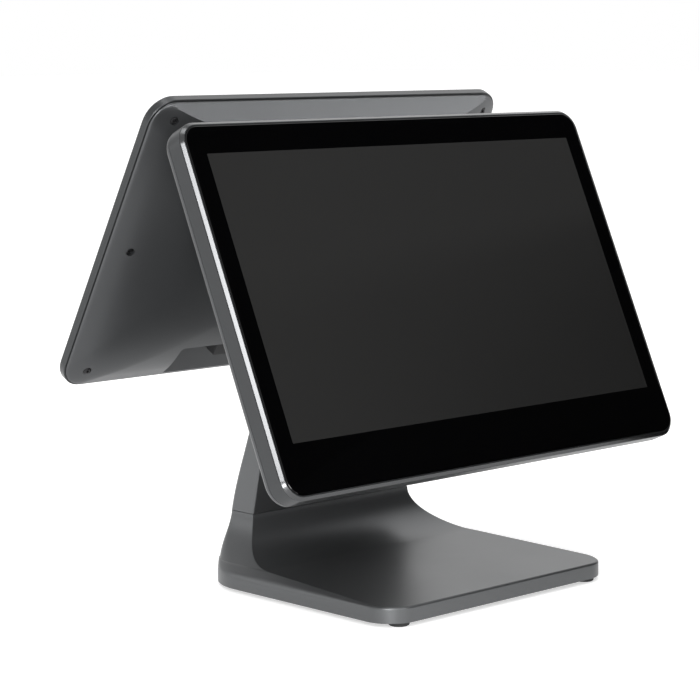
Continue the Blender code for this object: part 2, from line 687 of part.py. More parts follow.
def power_button(frame, datum):
    """A cap through the side wall with a flange inside it, and the switch board that it presses."""
    depth, height = BUTTON_PLACE
    outer = MAIN_WIDTH / 2
    half_depth, half_height = BUTTON_THICKNESS / 2, BUTTON_HEIGHT / 2
    hole = ((outer - 0.010, depth - half_depth - GAP, height - half_height - GAP),
            (outer + OVERSHOOT, depth + half_depth + GAP, height + half_height + GAP))
    boolean(frame, add("button_hole_cut", box(*hole), parent=datum))
    axle = bpy.data.objects.new("power_button_axis", None)
    axle.parent = datum
    axle.location = (outer, depth, height)
    parts.objects.link(axle)
    cap = box((-0.0036, -half_depth, -half_height), (0.0, half_depth, half_height))
    round_corners(cap, 0, 0.0018, 3)
    button = add("power_button", cap, bright_steel, axle)
    flange = box((-0.0040, -0.0029, -0.0075), (-0.0030, 0.0029, 0.0075))
    boolean(button, add("button_flange_union", flange, parent=axle), "UNION")
    low = (outer - 0.0085, depth - 0.003, height - 0.010)
    high = (outer - 0.0073, depth + 0.003, height + 0.010)
    switch = add("power_switch_board", box(low, high), circuit_board, datum)
    plunger = cylinders([(outer - 0.0065, depth, height)], 0.0016, 0.0024, "X", sides=12)
    boolean(switch, add("switch_plunger_union", plunger, parent=datum), "UNION")


def main_display():
    datum, axis_local = display_frame_empty("main", MAIN_AXIS, MAIN_CENTRE, MAIN_TILT, half_turn=False)
    frame, inside = display_frame("main", (MAIN_WIDTH, MAIN_HEIGHT), MAIN_FRAME_DEPTH, MAIN_RADIUS,
                                  MAIN_CHAMFER, 0.003, datum)
    middle = MAIN_ACTIVE_RISE
    panel = box((-0.1795, inside, middle - 0.109), (0.1795, inside + 0.0036, middle + 0.109))
    add("main_lcd_panel", panel, lcd, datum)
    vesa = [(x, z) for x in (-0.0375, 0.0375) for z in (-0.016, 0.028)]
    main_chassis(vesa + list(MAIN_BOSSES), datum)
    main_back_cover(datum)
    vesa_holes = drilled(vesa, 0.036, SCREW_HOLE_RADIUS, 0.02)
    boolean(bpy.data.objects["main_back_cover"], add("main_vesa_cut", vesa_holes, parent=datum))
    board_clearance = drilled(vesa, 0.018, 0.0045, 0.02)
    boards(datum)
    boolean(bpy.data.objects["mainboard"], add("mainboard_cut", board_clearance, parent=datum))
    heatsink(datum)
    blower(datum)
    half = SOCKET_PITCH * len(SOCKET_WIDTHS) / 2
    socket_block("main_connector_block", SOCKET_WIDTHS, SOCKET_PITCH,
                 (-half, MAIN_BAY_FLOOR + GAP, MAIN_BAY_TOP - 0.014), (half, 0.0330, MAIN_BAY_TOP - GAP),
                 datum, black_plastic)
    hinge_bracket("main", axis_local[1:], MAIN_DEPTH + GAP, -0.026, 0.070, 0.050, vesa, datum)
    power_button(frame, datum)
    head_seat = MAIN_DEPTH + 2 * GAP
    for number, (x, z) in enumerate(MAIN_BOSSES, 1):
        screw(f"main_cover_screw_{number}", bright_steel, datum, (x, head_seat - 0.012, z), 0.012)
    head_seat += BRACKET_THICKNESS + GAP
    for number, (x, z) in enumerate(vesa, 1):
        screw(f"main_bracket_screw_{number}", bright_steel, datum, (x, head_seat - 0.015, z), 0.015)


def customer_back_rings(wall):
    """Rim first: steep along the top, gentle at the sides and bottom."""
    half_x, half_z = CUSTOMER_WIDTH / 2, CUSTOMER_HEIGHT / 2
    front = CUSTOMER_FRAME_DEPTH + GAP
    steps = ((front, 0.0014, 0.0014, 0.0014, 0.0175), (0.0095, 0.0020, 0.0020, 0.0020, 0.0170),
             (0.0150, 0.0190, 0.0075, 0.0130, 0.0150), (0.0195, 0.0400, 0.0125, 0.0270, 0.0140),
             (0.0228, 0.0640, 0.0165, 0.0430, 0.0130), (CUSTOMER_DEPTH, 0.0860, 0.0200, 0.0560, 0.0120))
    rings = []
    for depth, side, top, bottom, radius in steps:
        points = outline(-half_x + side + wall, half_x - side - wall, -half_z + bottom + wall,
                         half_z - top - wall, radius - wall, radius - wall)
        rings.append(at_depth(points, depth - wall if wall and depth > front else depth))
    if wall:
        rings[0] = [(x, front - OVERSHOOT, z) for x, _, z in rings[0]]
    return rings


def customer_back_cover(datum):
    wall = CUSTOMER_WALL
    cover = add("customer_back_cover", loft(customer_back_rings(0.0)), paint, datum)
    hollow = add("customer_cover_hollow_cut", loft(customer_back_rings(wall)), parent=datum)
    bosses = drilled(CUSTOMER_BOSSES, 0.0292, 0.0048, 0.04)
    boolean(hollow, add("customer_bosses_cut", bosses, parent=datum))
    half, top, floor = CUSTOMER_BAY_HALF_WIDTH, CUSTOMER_BAY_TOP, CUSTOMER_BAY_FLOOR
    bay_block = box((-half - wall, floor - wall, -0.112), (half + wall, 0.04, top + wall))
    boolean(hollow, add("customer_bay_walls_cut", bay_block, parent=datum))
    boolean(cover, hollow)
    boolean(cover, add("customer_bay_cut", box((-half, floor, -0.130), (half, 0.04, top)), parent=datum))
    recess = drilled(CUSTOMER_BOSSES, 0.0312, 0.0030, 0.04)
    boolean(cover, add("customer_recess_cut", recess, parent=datum))
    holes = drilled(CUSTOMER_BOSSES, 0.010, SCREW_HOLE_RADIUS, 0.01)
    boolean(cover, add("customer_cover_holes_cut", holes, parent=datum))


def customer_display():
    datum, axis_local = display_frame_empty("customer", CUSTOMER_AXIS, CUSTOMER_CENTRE, CUSTOMER_TILT,
                                            half_turn=True)
    _, inside = display_frame("customer", (CUSTOMER_WIDTH, CUSTOMER_HEIGHT), CUSTOMER_FRAME_DEPTH,
                              CUSTOMER_RADIUS, CUSTOMER_CHAMFER, 0.002, datum)
    add("customer_lcd_panel", box((-0.160, inside, -0.096), (0.160, inside + 0.0030, 0.104)), lcd, datum)
    front = 0.0077
    sheet = plate(0.312, 0.206, front, front + 0.001, 0.010, segments=4)
    chassis = add("customer_chassis", sheet, black_steel, datum)
    holes = drilled(CUSTOMER_BOSSES, front, SCREW_HOLE_RADIUS, 0.02)
    boolean(chassis, add("customer_chassis_cut", holes, parent=datum))
    half = CUSTOMER_BAY_HALF_WIDTH + 0.003
    notch = box((-half, 0.0, -0.120), (half, 0.020, CUSTOMER_BAY_TOP + 0.003))
    boolean(chassis, add("customer_chassis_notch_cut", notch, parent=datum))
    customer_back_cover(datum)
    bracket_holes = [(x, z) for x in (-0.025, 0.025) for z in (-0.025, 0.025)]
    posts = drilled(bracket_holes, 0.0148, 0.0034, 0.0130)
    boolean(chassis, add("customer_posts_union", posts, parent=datum), "UNION")
    cover = bpy.data.objects["customer_back_cover"]
    for target, name in ((chassis, "customer_post_bores_cut"), (cover, "vesa_cut")):
        boolean(target, add(name, drilled(bracket_holes, 0.018, SCREW_HOLE_RADIUS, 0.025), parent=datum))
    board = box((-0.060, 0.0120, -0.074), (0.060, 0.0136, -0.034))
    add("customer_driver_board", board, circuit_board, datum)
    socket_block("customer_connector_block", (0.015, 0.0135, 0.009), 0.024,
                 (-0.040, CUSTOMER_BAY_FLOOR + GAP, CUSTOMER_BAY_TOP - 0.010),
                 (0.040, 0.0190, CUSTOMER_BAY_TOP - GAP), datum, black_plastic)
    hinge_bracket("customer", axis_local[1:], CUSTOMER_DEPTH + GAP, -0.036, 0.050, 0.045,
                  bracket_holes, datum)
    for number, (x, z) in enumerate(CUSTOMER_BOSSES, 1):
        screw(f"customer_cover_screw_{number}", bright_steel, datum, (x, 0.0080, z), 0.0035)
    seat = CUSTOMER_DEPTH + BRACKET_THICKNESS + 2 * GAP
    for number, (x, z) in enumerate(bracket_holes, 1):
        screw(f"customer_bracket_screw_{number}", bright_steel, datum, (x, seat - 0.012, z), 0.012)


clear_scene()
parts = new_collection(PARTS)
cutters = new_collection("cutters")
paint = new_material("silver_grey_paint", (0.16, 0.165, 0.17), 0.42, 0.6)
black_glass = new_material("black_glass", (0.004, 0.004, 0.004), 0.08, 0.0)
lcd = new_material("lcd_module", (0.03, 0.03, 0.032), 0.4, 0.0)
rubber = new_material("black_rubber", (0.02, 0.02, 0.02), 0.9, 0.0)
black_steel = new_material("black_steel", (0.05, 0.05, 0.052), 0.5, 0.8)
cast_metal = new_material("cast_metal", (0.10, 0.10, 0.105), 0.5, 0.7)
bright_steel = new_material("bright_steel", (0.55, 0.55, 0.56), 0.25, 1.0)
bare_aluminium = new_material("bare_aluminium", (0.6, 0.6, 0.62), 0.35, 1.0)
circuit_board = new_material("circuit_board", (0.01, 0.09, 0.04), 0.5, 0.0)
black_plastic = new_material("black_plastic", (0.018, 0.018, 0.019), 0.55, 0.0)

base_shell()
base_bottom_cover()
rubber_feet()
ballast_plate()
stand_spine()
neck_shell()
neck_rear_cover()
hinge_head()
shaft_set("main", MAIN_AXIS)
shaft_set("customer", CUSTOMER_AXIS)
main_display()
customer_display()
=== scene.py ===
"""The looks of the dual-screen point-of-sale terminal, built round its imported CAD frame.

Metres, +Z up, +X to the operator's right, +Y away from the operator. A display's own frame has x to the
side, y from the front of the glass towards its back and z up along the glass.
"""

import math

import bmesh
import bpy
from mathutils import Matrix, Vector


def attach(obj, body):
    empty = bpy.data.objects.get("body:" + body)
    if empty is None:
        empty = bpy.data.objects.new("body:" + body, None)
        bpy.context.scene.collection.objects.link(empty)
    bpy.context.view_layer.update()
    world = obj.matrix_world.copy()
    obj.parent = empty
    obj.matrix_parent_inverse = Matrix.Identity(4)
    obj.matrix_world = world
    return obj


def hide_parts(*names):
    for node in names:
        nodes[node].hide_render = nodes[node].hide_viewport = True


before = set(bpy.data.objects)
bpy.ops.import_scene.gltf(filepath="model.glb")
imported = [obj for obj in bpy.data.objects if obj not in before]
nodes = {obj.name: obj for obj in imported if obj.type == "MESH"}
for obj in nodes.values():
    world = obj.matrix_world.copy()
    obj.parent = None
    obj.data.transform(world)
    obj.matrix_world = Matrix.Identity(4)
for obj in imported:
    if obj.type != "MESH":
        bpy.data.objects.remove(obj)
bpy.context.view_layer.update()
scene = bpy.context.scene

MAIN = Matrix.Translation((0, -0.0818, 0.2091)) @ Matrix.Rotation(-math.radians(24.0), 4, "X")
CUSTOMER = (Matrix.Translation((0, 0.0832, 0.2405)) @ Matrix.Rotation(math.pi, 4, "Z")
            @ Matrix.Rotation(-math.radians(29.5), 4, "X"))
GAP = 0.0003

# ------------------------------------------------------------------ materials


def node_of(tree, kind, **inputs):
    made = tree.nodes.new(kind)
    for name, value in inputs.items():
        made.inputs[name.replace("_", " ")].default_value = value
    return made


def mix_of(tree, share, first, second):
    """A mix of two colours, each of them fixed or another node's output."""
    made = tree.nodes.new("ShaderNodeMix")
    made.data_type = "RGBA"
    for socket, colour in ((made.inputs[6], first), (made.inputs[7], second)):
        if isinstance(colour, bpy.types.NodeSocket):
            tree.links.new(colour, socket)
        else:
            socket.default_value = (*colour, 1)
    tree.links.new(share, made.inputs[0])
    return made.outputs[2]


def lighter(colour, times):
    return [min(1.0, channel * times) for channel in colour]


def surface(name, colour, roughness, metallic=0.0, mottle=0.05, grain=0.0, grain_size=0.0004, fleck=0.0,
            rough_spread=0.04, stretch=(1, 1, 1), specular=0.5, wear=0.0):
    """A procedural finish: colour drift, fine flecks, a fine bumpy grain, uneven gloss and rubbed edges."""
    material = bpy.data.materials.new(name)
    material.use_nodes = True
    tree = material.node_tree
    shader = tree.nodes["Principled BSDF"]
    shader.inputs["Metallic"].default_value = metallic
    shader.inputs["Specular IOR Level"].default_value = specular
    place = tree.nodes.new("ShaderNodeTexCoord")
    mapping = tree.nodes.new("ShaderNodeMapping")
    mapping.inputs["Scale"].default_value = stretch
    tree.links.new(place.outputs["Object"], mapping.inputs["Vector"])

    drift = node_of(tree, "ShaderNodeTexNoise", Scale=14.0, Detail=3.0)
    fine = node_of(tree, "ShaderNodeTexNoise", Scale=0.35 / grain_size, Detail=2.0)
    for each in (drift, fine):
        tree.links.new(mapping.outputs["Vector"], each.inputs["Vector"])
    blend = tree.nodes.new("ShaderNodeMath")
    blend.operation = "MULTIPLY_ADD"
    blend.inputs[1].default_value = fleck
    tree.links.new(fine.outputs["Fac"], blend.inputs[0])
    scaled = tree.nodes.new("ShaderNodeMath")
    scaled.operation = "MULTIPLY_ADD"
    scaled.inputs[1].default_value = mottle
    scaled.inputs[2].default_value = 0.5 - (mottle + fleck) / 2
    tree.links.new(drift.outputs["Fac"], scaled.inputs[0])
    tree.links.new(scaled.outputs["Value"], blend.inputs[2])
    out = mix_of(tree, blend.outputs["Value"], lighter(colour, 0.5), lighter(colour, 1.5))
    if wear:
        edge = tree.nodes.new("ShaderNodeNewGeometry")
        rub = node_of(tree, "ShaderNodeMapRange", From_Min=0.56, From_Max=0.70, To_Max=wear)
        tree.links.new(edge.outputs["Pointiness"], rub.inputs["Value"])
        out = mix_of(tree, rub.outputs["Result"], out, lighter(colour, 2.2))
    tree.links.new(out, shader.inputs["Base Color"])

    gloss = node_of(tree, "ShaderNodeMapRange", To_Min=max(0.0, roughness - rough_spread),
                    To_Max=roughness + rough_spread)
    tree.links.new(drift.outputs["Fac"], gloss.inputs["Value"])
    tree.links.new(gloss.outputs["Result"], shader.inputs["Roughness"])
    if grain:
        bump = node_of(tree, "ShaderNodeBump", Strength=grain, Distance=grain_size)
        tree.links.new(fine.outputs["Fac"], bump.inputs["Height"])
        tree.links.new(bump.outputs["Normal"], shader.inputs["Normal"])
    return material


paint = surface("satin_grey_paint", (0.106, 0.109, 0.112), 0.38, metallic=0.80, mottle=0.05, fleck=0.12,
                grain=0.10, grain_size=0.00035, wear=0.12)
frame_paint = surface("satin_grey_rim", (0.052, 0.054, 0.056), 0.34, metallic=0.80, mottle=0.05, fleck=0.12,
                      grain=0.10, grain_size=0.00035, wear=0.10)
# The covers' grey is partly their own darker tone and partly painted shade: it is darkened to stand in for
# the shade that falls between the two displays.
shell_paint_with_painted_shade = surface("satin_grey_shell_with_painted_shade", (0.077, 0.079, 0.082), 0.34, metallic=0.80, mottle=0.05, fleck=0.08,
                      grain=0.10, grain_size=0.0003, wear=0.06)
polished = surface("bright_cut_edge", (0.075, 0.076, 0.078), 0.22, metallic=0.95, mottle=0.04, fleck=0.04,
                   grain=0.03, grain_size=0.0002, rough_spread=0.03)
black_steel = surface("blackened_steel", (0.045, 0.045, 0.047), 0.38, metallic=0.9, mottle=0.08, fleck=0.06,
                      grain=0.06, grain_size=0.0002, wear=0.2)
glass = surface("black_glass", (0.0006, 0.0006, 0.0007), 0.05, mottle=0.2, rough_spread=0.015, specular=0.45)
picture = surface("screen_picture_area", (0.0134, 0.0134, 0.0132), 0.09, mottle=0.03, fleck=0.02,
                  grain_size=0.0002, rough_spread=0.01, specular=0.25)
rubber = surface("black_rubber", (0.016, 0.016, 0.0165), 0.78, mottle=0.15, grain=0.35, grain_size=0.0005)
casting = surface("dark_casting", (0.055, 0.056, 0.058), 0.48, metallic=0.7, mottle=0.12, fleck=0.15,
                  grain=0.3, grain_size=0.0006, wear=0.25)
steel = surface("plated_steel", (0.56, 0.56, 0.57), 0.26, metallic=1.0, mottle=0.08, fleck=0.05, grain=0.06,
                grain_size=0.0002, stretch=(12, 1, 1), rough_spread=0.06)
sheet_steel = surface("black_sheet_steel", (0.035, 0.035, 0.037), 0.5, metallic=0.5, mottle=0.1, fleck=0.1,
                      grain=0.15, grain_size=0.0004, wear=0.2)
aluminium = surface("bare_aluminium", (0.60, 0.60, 0.62), 0.33, metallic=1.0, mottle=0.06, fleck=0.05,
                    grain=0.05, grain_size=0.0002, stretch=(1, 14, 1))
button_metal = surface("button_metal", (0.42, 0.42, 0.43), 0.30, metallic=1.0, mottle=0.04, grain=0.05,
                       grain_size=0.0001, stretch=(1, 8, 1))
board = surface("circuit_board", (0.008, 0.070, 0.032), 0.42, mottle=0.2, fleck=0.35, grain=0.25,
                grain_size=0.0018)
plastic = surface("black_plastic", (0.016, 0.016, 0.017), 0.55, mottle=0.1, fleck=0.1, grain=0.25,
                  grain_size=0.0004)
gold = surface("gold_contacts", (0.75, 0.52, 0.20), 0.25, metallic=1.0, mottle=0.05)
lcd = surface("lcd_module", (0.028, 0.028, 0.030), 0.4, mottle=0.1, fleck=0.05)

# ------------------------------------------------------------------ mesh tools


def object_from(builder, name, *materials):
    bmesh.ops.recalc_face_normals(builder, faces=builder.faces)
    mesh = bpy.data.meshes.new(name)
    builder.to_mesh(mesh)
    builder.free()
    for each in materials:
        mesh.materials.append(each)
    made = bpy.data.objects.new(name, mesh)
    scene.collection.objects.link(made)
    return made


def settle(made):
    """Applies the object's modifiers to its mesh."""
    bpy.context.view_layer.update()
    graph = bpy.context.evaluated_depsgraph_get()
    mesh = bpy.data.meshes.new_from_object(made.evaluated_get(graph))
    made.modifiers.clear()
    made.data = mesh


def carve(made, other, operation="DIFFERENCE"):
    """Takes a builder's shape or a finished object out of this one, or joins it on, and removes it."""
    if isinstance(other, bmesh.types.BMesh):
        other = object_from(other, "cutter")
    modifier = made.modifiers.new("carve", "BOOLEAN")
    modifier.operation = operation
    modifier.object = other
    settle(made)
    bpy.data.objects.remove(other)


def round_edges(made, width, segments=2, angle=40, by_weight=False):
    modifier = made.modifiers.new("round", "BEVEL")
    modifier.width = width
    modifier.segments = segments
    modifier.limit_method = "WEIGHT" if by_weight else "ANGLE"
    modifier.angle_limit = math.radians(angle)
    settle(made)


def put(made, body, slot, *replaced, place=None, angle=35):
    """Sets a finished piece in its place, on its body, standing for its CAD nodes."""
    if place:
        made.data.transform(place)
    made.data.shade_smooth()
    made.data.set_sharp_from_angle(angle=math.radians(angle))
    even = made.modifiers.new("even_shading", "WEIGHTED_NORMAL")
    even.keep_sharp = True
    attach(made, body)
    if replaced:
        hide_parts(*replaced)


def box(low, high, builder=None):
    builder = builder or bmesh.new()
    low, high = Vector(low), Vector(high)
    scale = Matrix.Diagonal((*(high - low), 1.0))
    bmesh.ops.create_cube(builder, size=1.0, matrix=Matrix.Translation((low + high) / 2) @ scale)
    return builder


TURNS = {"X": Matrix.Rotation(math.pi / 2, 4, "Y"), "Y": Matrix.Rotation(-math.pi / 2, 4, "X"),
         "Z": Matrix.Identity(4)}


def cylinders(places, radius, length, axis, sides=40, builder=None, far_radius=None):
    builder = builder or bmesh.new()
    for place in places:
        bmesh.ops.create_cone(builder, cap_ends=True, segments=sides, radius1=radius,
                              radius2=radius if far_radius is None else far_radius,
                              depth=length, matrix=Matrix.Translation(place) @ TURNS[axis])
    return builder


def circle(radius, sides):
    angles = [2 * math.pi * i / sides for i in range(sides)]
    return [(radius * math.cos(angle), radius * math.sin(angle)) for angle in angles]


def join(builder, rings):
    """Faces between neighbouring rings of equally many vertices, where a ring of one vertex is a tip."""
    for near, far in zip(rings, rings[1:]):
        count = max(len(near), len(far))
        for i in range(count):
            j = (i + 1) % count
            corners = (near[i % len(near)], near[j % len(near)], far[j % len(far)], far[i % len(far)])
            builder.faces.new(tuple(dict.fromkeys(corners)))


def turned(profile, place=(0, 0, 0), axis="Z", sides=40, builder=None):
    """A solid of revolution from (radius, height) points, low end first, with both ends on the axis."""
    builder = builder or bmesh.new()
    matrix = Matrix.Translation(place) @ TURNS[axis]
    rings = []
    for radius, height in profile:
        points = circle(radius, sides) if radius else [(0, 0)]
        rings.append([builder.verts.new(matrix @ Vector((x, y, height))) for x, y in points])
    join(builder, rings)
    return builder


def hull(*shapes):
    builder = bmesh.new()
    for shape in shapes:
        for vertex in shape.verts:
            builder.verts.new(vertex.co)
        shape.free()
    made = bmesh.ops.convex_hull(builder, input=builder.verts)
    spare = {v for v in made["geom_interior"] + made["geom_unused"] if isinstance(v, bmesh.types.BMVert)}
    bmesh.ops.delete(builder, geom=list(spare), context="VERTS")
    bmesh.ops.dissolve_limit(builder, angle_limit=0.001, verts=builder.verts, edges=builder.edges)
    return builder


def arc(x, y, radius, start, steps):
    """A quarter turn about (x, y), anticlockwise from the start angle in degrees."""
    angles = [math.radians(start + 90 * step / steps) for step in range(steps + 1)]
    return [(x + radius * math.cos(angle), y + radius * math.sin(angle)) for angle in angles]


def rounded(left, right, low, high, low_radius, high_radius=None, steps=8):
    """Points round a rectangle with rounded corners, from its low right corner, anticlockwise."""
    high_radius = low_radius if high_radius is None else high_radius
    return (arc(right - low_radius, low + low_radius, low_radius, -90, steps)
            + arc(right - high_radius, high - high_radius, high_radius, 0, steps)
            + arc(left + high_radius, high - high_radius, high_radius, 90, steps)
            + arc(left + low_radius, low + low_radius, low_radius, 180, steps))


def around(place, half_width, half_height, radius, steps=6):
    """A rounded rectangle about its middle."""
    x, y = place
    return rounded(x - half_width, x + half_width, y - half_height, y + half_height, radius, steps=steps)


def filleted(path, steps=3):
    """An open path of (u, v, radius) with its inner corners rounded by that radius."""
    points = [Vector(path[0][:2])]
    for before, here, after in zip(path, path[1:], path[2:]):
        corner = Vector(here[:2])
        back, ahead = Vector(before[:2]) - corner, Vector(after[:2]) - corner
        if here[2] <= 0:
            points.append(corner)
            continue
        reach = here[2] / math.tan(back.angle(ahead) / 2)
        reach = min(reach, 0.49 * back.length, 0.49 * ahead.length)
        start, end = corner + back.normalized() * reach, corner + ahead.normalized() * reach
        for step in range(steps + 1):
            s = step / steps
            points.append(start * (1 - s) ** 2 + corner * 2 * s * (1 - s) + end * s * s)
    points.append(Vector(path[-1][:2]))
    return [tuple(p) for p in points]


def smoothed(rows, rounds=3):
    """Corner-cuts a table of numbers into a smooth one with the same ends."""
    for _ in range(rounds):
        cut = [rows[0]]
        for a, b in zip(rows, rows[1:]):
            cut.append(tuple(0.75 * p + 0.25 * q for p, q in zip(a, b)))
            cut.append(tuple(0.25 * p + 0.75 * q for p, q in zip(a, b)))
        cut.append(rows[-1])
        rows = cut
    return rows


def loft(rings, closed=False, builder=None):
    """A skin through rings of equally many points: capped at both ends, or closed on itself."""
    builder = builder or bmesh.new()
    made = [[builder.verts.new(point) for point in ring] for ring in rings]
    join(builder, made + made[:1] if closed else made)
    if not closed:
        builder.faces.new(made[0])
        builder.faces.new(made[-1])
    return builder


def at_height(points, z):
    return [(x, y, z) for x, y in points]


def at_depth(points, y):
    return [(x, y, z) for x, z in points]


def at_side(points, x):
    return [(x, y, z) for y, z in points]


def stadium(x, low, high, radius, near, far, builder):
    """A slot with round ends that runs along z and through a display's depth."""
    points = rounded(x - radius, x + radius, low, high, radius, steps=6)
    return loft([at_depth(points, near), at_depth(points, far)], builder=builder)


# ------------------------------------------------------------------ stand: the foot and the sweep
BASE_HALF, BASE_FRONT, BASE_REAR = 0.109, -0.139, 0.057
BASE_LOW, EDGE_TOP, BASE_TOP, BAND = 0.003, 0.013, 0.018, 0.008
TOP_SLOPE = 0.0345
SWEEP_Y, SWEEP_TOP, SWEEP_REACH, SWEEP_RISE = -0.015, 0.048, 0.045, 0.030
NECK_HALF, NECK_TOP = 0.076, 0.222
NECK_WALL = 0.0025


def front_path(inset, y0, steps=12):
    """From the left side at y0, forward and round the front of the foot, to the right side at y0."""
    half, front, radius = BASE_HALF - inset, BASE_FRONT + inset, 0.022 - 0.8 * inset
    corners = (arc(-half + radius, front + radius, radius, 180, steps)
               + arc(half - radius, front + radius, radius, 270, steps))
    return [(-half, y0), *corners, (half, y0)]


def rear_path(half, y0, rear, radius, steps=14, side=8):
    """From the right side at y0, back and round the rear, to the left side at y0, both ends left out."""
    turn = rear - radius
    right = [(half, y0 + (turn - y0) * i / side) for i in range(1, side)]
    left = [(-half, turn - (turn - y0) * i / side) for i in range(1, side)]
    return (right + arc(half - radius, turn, radius, 0, steps)
            + arc(-half + radius, turn, radius, 90, steps) + left)


def sweep_row(angle):
    """Height, half width, front, rear and rear radius of the sweep where its side profile has this angle."""
    z = SWEEP_TOP - SWEEP_RISE * math.cos(angle)
    drop = (SWEEP_TOP - z) / SWEEP_RISE
    return (z, NECK_HALF + 0.0242 * drop ** 1.9, SWEEP_Y + SWEEP_REACH * math.sin(angle),
            0.0558 + 0.001 * drop, 0.005 + 0.025 * drop ** 3)


def crease_point(outer, inner):
    """Where the band that rises inwards from the foot's edge meets the top, which falls to the front."""
    (x0, y0), (x1, y1) = outer, inner
    rise = BASE_TOP - EDGE_TOP
    share = (rise + TOP_SLOPE * (y0 - SWEEP_Y)) / (rise - TOP_SLOPE * (y1 - y0))
    share = min(max(share, 0.0), 1.0)
    return Vector((x0 + (x1 - x0) * share, y0 + (y1 - y0) * share, EDGE_TOP + rise * share))


def base_skin():
    builder = bmesh.new()
    weight = builder.edges.layers.float.new("bevel_weight_edge")
    front_outer, front_inner = front_path(0, SWEEP_Y), front_path(BAND, SWEEP_Y)
    rear_outer = rear_path(BASE_HALF, SWEEP_Y, BASE_REAR, 0.043)
    rear_inner = rear_path(BASE_HALF - BAND, SWEEP_Y, BASE_REAR - 0.0002, 0.030)
    creases = [crease_point(o, i) for o, i in zip(front_outer, front_inner)]
    creases += [Vector((x, y, BASE_TOP)) for x, y in rear_inner]
    outer = front_outer + rear_outer
    middle = Vector((0, -0.04, 0))
    steps, spans = 5, 4
    rings = [[] for _ in range(steps + 3 + spans)]
    for (x, y), crease in zip(outer, creases):
        edge = Vector((x, y, EDGE_TOP))
        band = crease - edge
        # The edge is crisp round the front and grows rounder towards the neck.
        soft = min(1.0, max(0.0, (y + 0.10) / 0.09))
        rounding = 0.0009 + 0.0031 * soft
        ahead = edge + band.normalized() * min(rounding, 0.45 * band.length)
        below = edge - Vector((0, 0, rounding))
        inwards = (middle - edge).normalized() * 0.0004
        rings[0].append((x + inwards.x, y + inwards.y, BASE_LOW))
        rings[1].append((x, y, BASE_LOW + 0.0004))
        for step in range(steps + 1):
            t = step / steps
            rings[2 + step].append(below * (1 - t) ** 2 + edge * 2 * t * (1 - t) + ahead * t * t)
        for step in range(1, spans + 1):
            rings[2 + steps + step].append(ahead.lerp(crease, step / spans))
    rings = [[builder.verts.new(point) for point in ring] for ring in rings]
    join(builder, rings)
    builder.faces.new(rings[0])
    top = rings[-1]
    front_count = len(front_outer)
    crease = list(top[:front_count])

    columns, count = 12, 22
    rear = top[front_count:]
    row = [top[0]]
    for i in range(1, columns):
        x = top[0].co.x + (top[front_count - 1].co.x - top[0].co.x) * i / columns
        row.append(builder.verts.new((x, SWEEP_Y, top[0].co.z)))
    row.append(top[front_count - 1])
    builder.faces.new(list(top[:front_count]) + row[-2:0:-1])
    left, right = [row[0]], [row[-1]]
    for step in range(1, count + 1):
        z, half, front, back, radius = sweep_row(math.pi / 2 * step / count)
        new_row = [builder.verts.new((-half + 2 * half * i / columns, front, z)) for i in range(columns + 1)]
        new_rear = [builder.verts.new((x, y, z)) for x, y in rear_path(half, front, back, radius)]
        for i in range(columns):
            builder.faces.new((row[i], row[i + 1], new_row[i + 1], new_row[i]))
        old_loop, new_loop = [row[-1], *rear, row[0]], [new_row[-1], *new_rear, new_row[0]]
        for i in range(len(old_loop) - 1):
            builder.faces.new((old_loop[i], old_loop[i + 1], new_loop[i + 1], new_loop[i]))
        row, rear = new_row, new_rear
        left.append(row[0])
        right.append(row[-1])
    builder.faces.new(row + rear)
    for chain in (crease, left, right):
        for a, b in zip(chain, chain[1:]):
            builder.edges.get((a, b))[weight] = 1.0
    return builder


def base_piece():
    made = object_from(base_skin(), "base_shell_skin", paint)
    round_edges(made, 0.0005, by_weight=True)
    wall = 0.003
    low = front_path(wall, SWEEP_Y) + rear_path(BASE_HALF - wall, SWEEP_Y, BASE_REAR - wall, 0.040)
    high = front_path(0.014, SWEEP_Y) + rear_path(BASE_HALF - 0.014, SWEEP_Y, BASE_REAR - 0.004, 0.030)
    hollow = object_from(loft([at_height(low, -0.002), at_height(low, 0.0110), at_height(high, 0.0145)]),
                         "hollow")
    near, far = BASE_FRONT - 0.02, 0.04
    above = [(y, BASE_TOP - 0.0032 + TOP_SLOPE * (y - SWEEP_Y)) for y in (near, far)]
    above += [(far, 0.06), (near, 0.06)]
    carve(hollow, loft([at_side(above, x) for x in (-0.15, 0.15)]))
    carve(made, hollow)
    rings = []
    for step in range(9):
        z, half, front, back, radius = sweep_row(math.radians(12 + 78 * step / 8))
        rings.append(at_height(rounded(-half + wall, half - wall, front + wall * 1.3, back - wall, 0.002,
                                       max(radius - wall, 0.002)), z - wall * (1 - step / 8)))
    rings.insert(0, [(x, y, 0.0095) for x, y, _ in rings[0]])
    rings.append([(x, y, SWEEP_TOP + 0.01) for x, y, _ in rings[-1]])
    carve(made, loft(rings))
    notch = rounded(-0.017, 0.017, -0.010, 0.0125, 0.002, steps=5)
    carve(made, loft([at_depth(notch, y) for y in (0.045, 0.062)]))
    put(made, "stand", "grey_painted_casting", "base_shell", angle=38)


def neck_front(z):
    return SWEEP_Y + SWEEP_REACH - 0.215 * (z - SWEEP_TOP)


def neck_rear(z):
    return neck_front(z) + 0.0145 + 0.0113 * math.exp(-((z - SWEEP_TOP) / 0.057) ** 2)


def neck_levels(low, high, count=26):
    return [low + (high - low) * i / count for i in range(count + 1)]


def neck_ring(z, inset=0.0):
    front, rear = neck_front(z) + inset, neck_rear(z) - inset
    half = NECK_HALF - inset
    return at_height(rounded(-half, half, front, rear, 0.0014, min(0.005, (rear - front) / 2.2), steps=6), z)


def flat_slice(z, half, near, far):
    return [(x, y, z) for x, y in ((-half, near), (half, near), (half, far), (-half, far))]


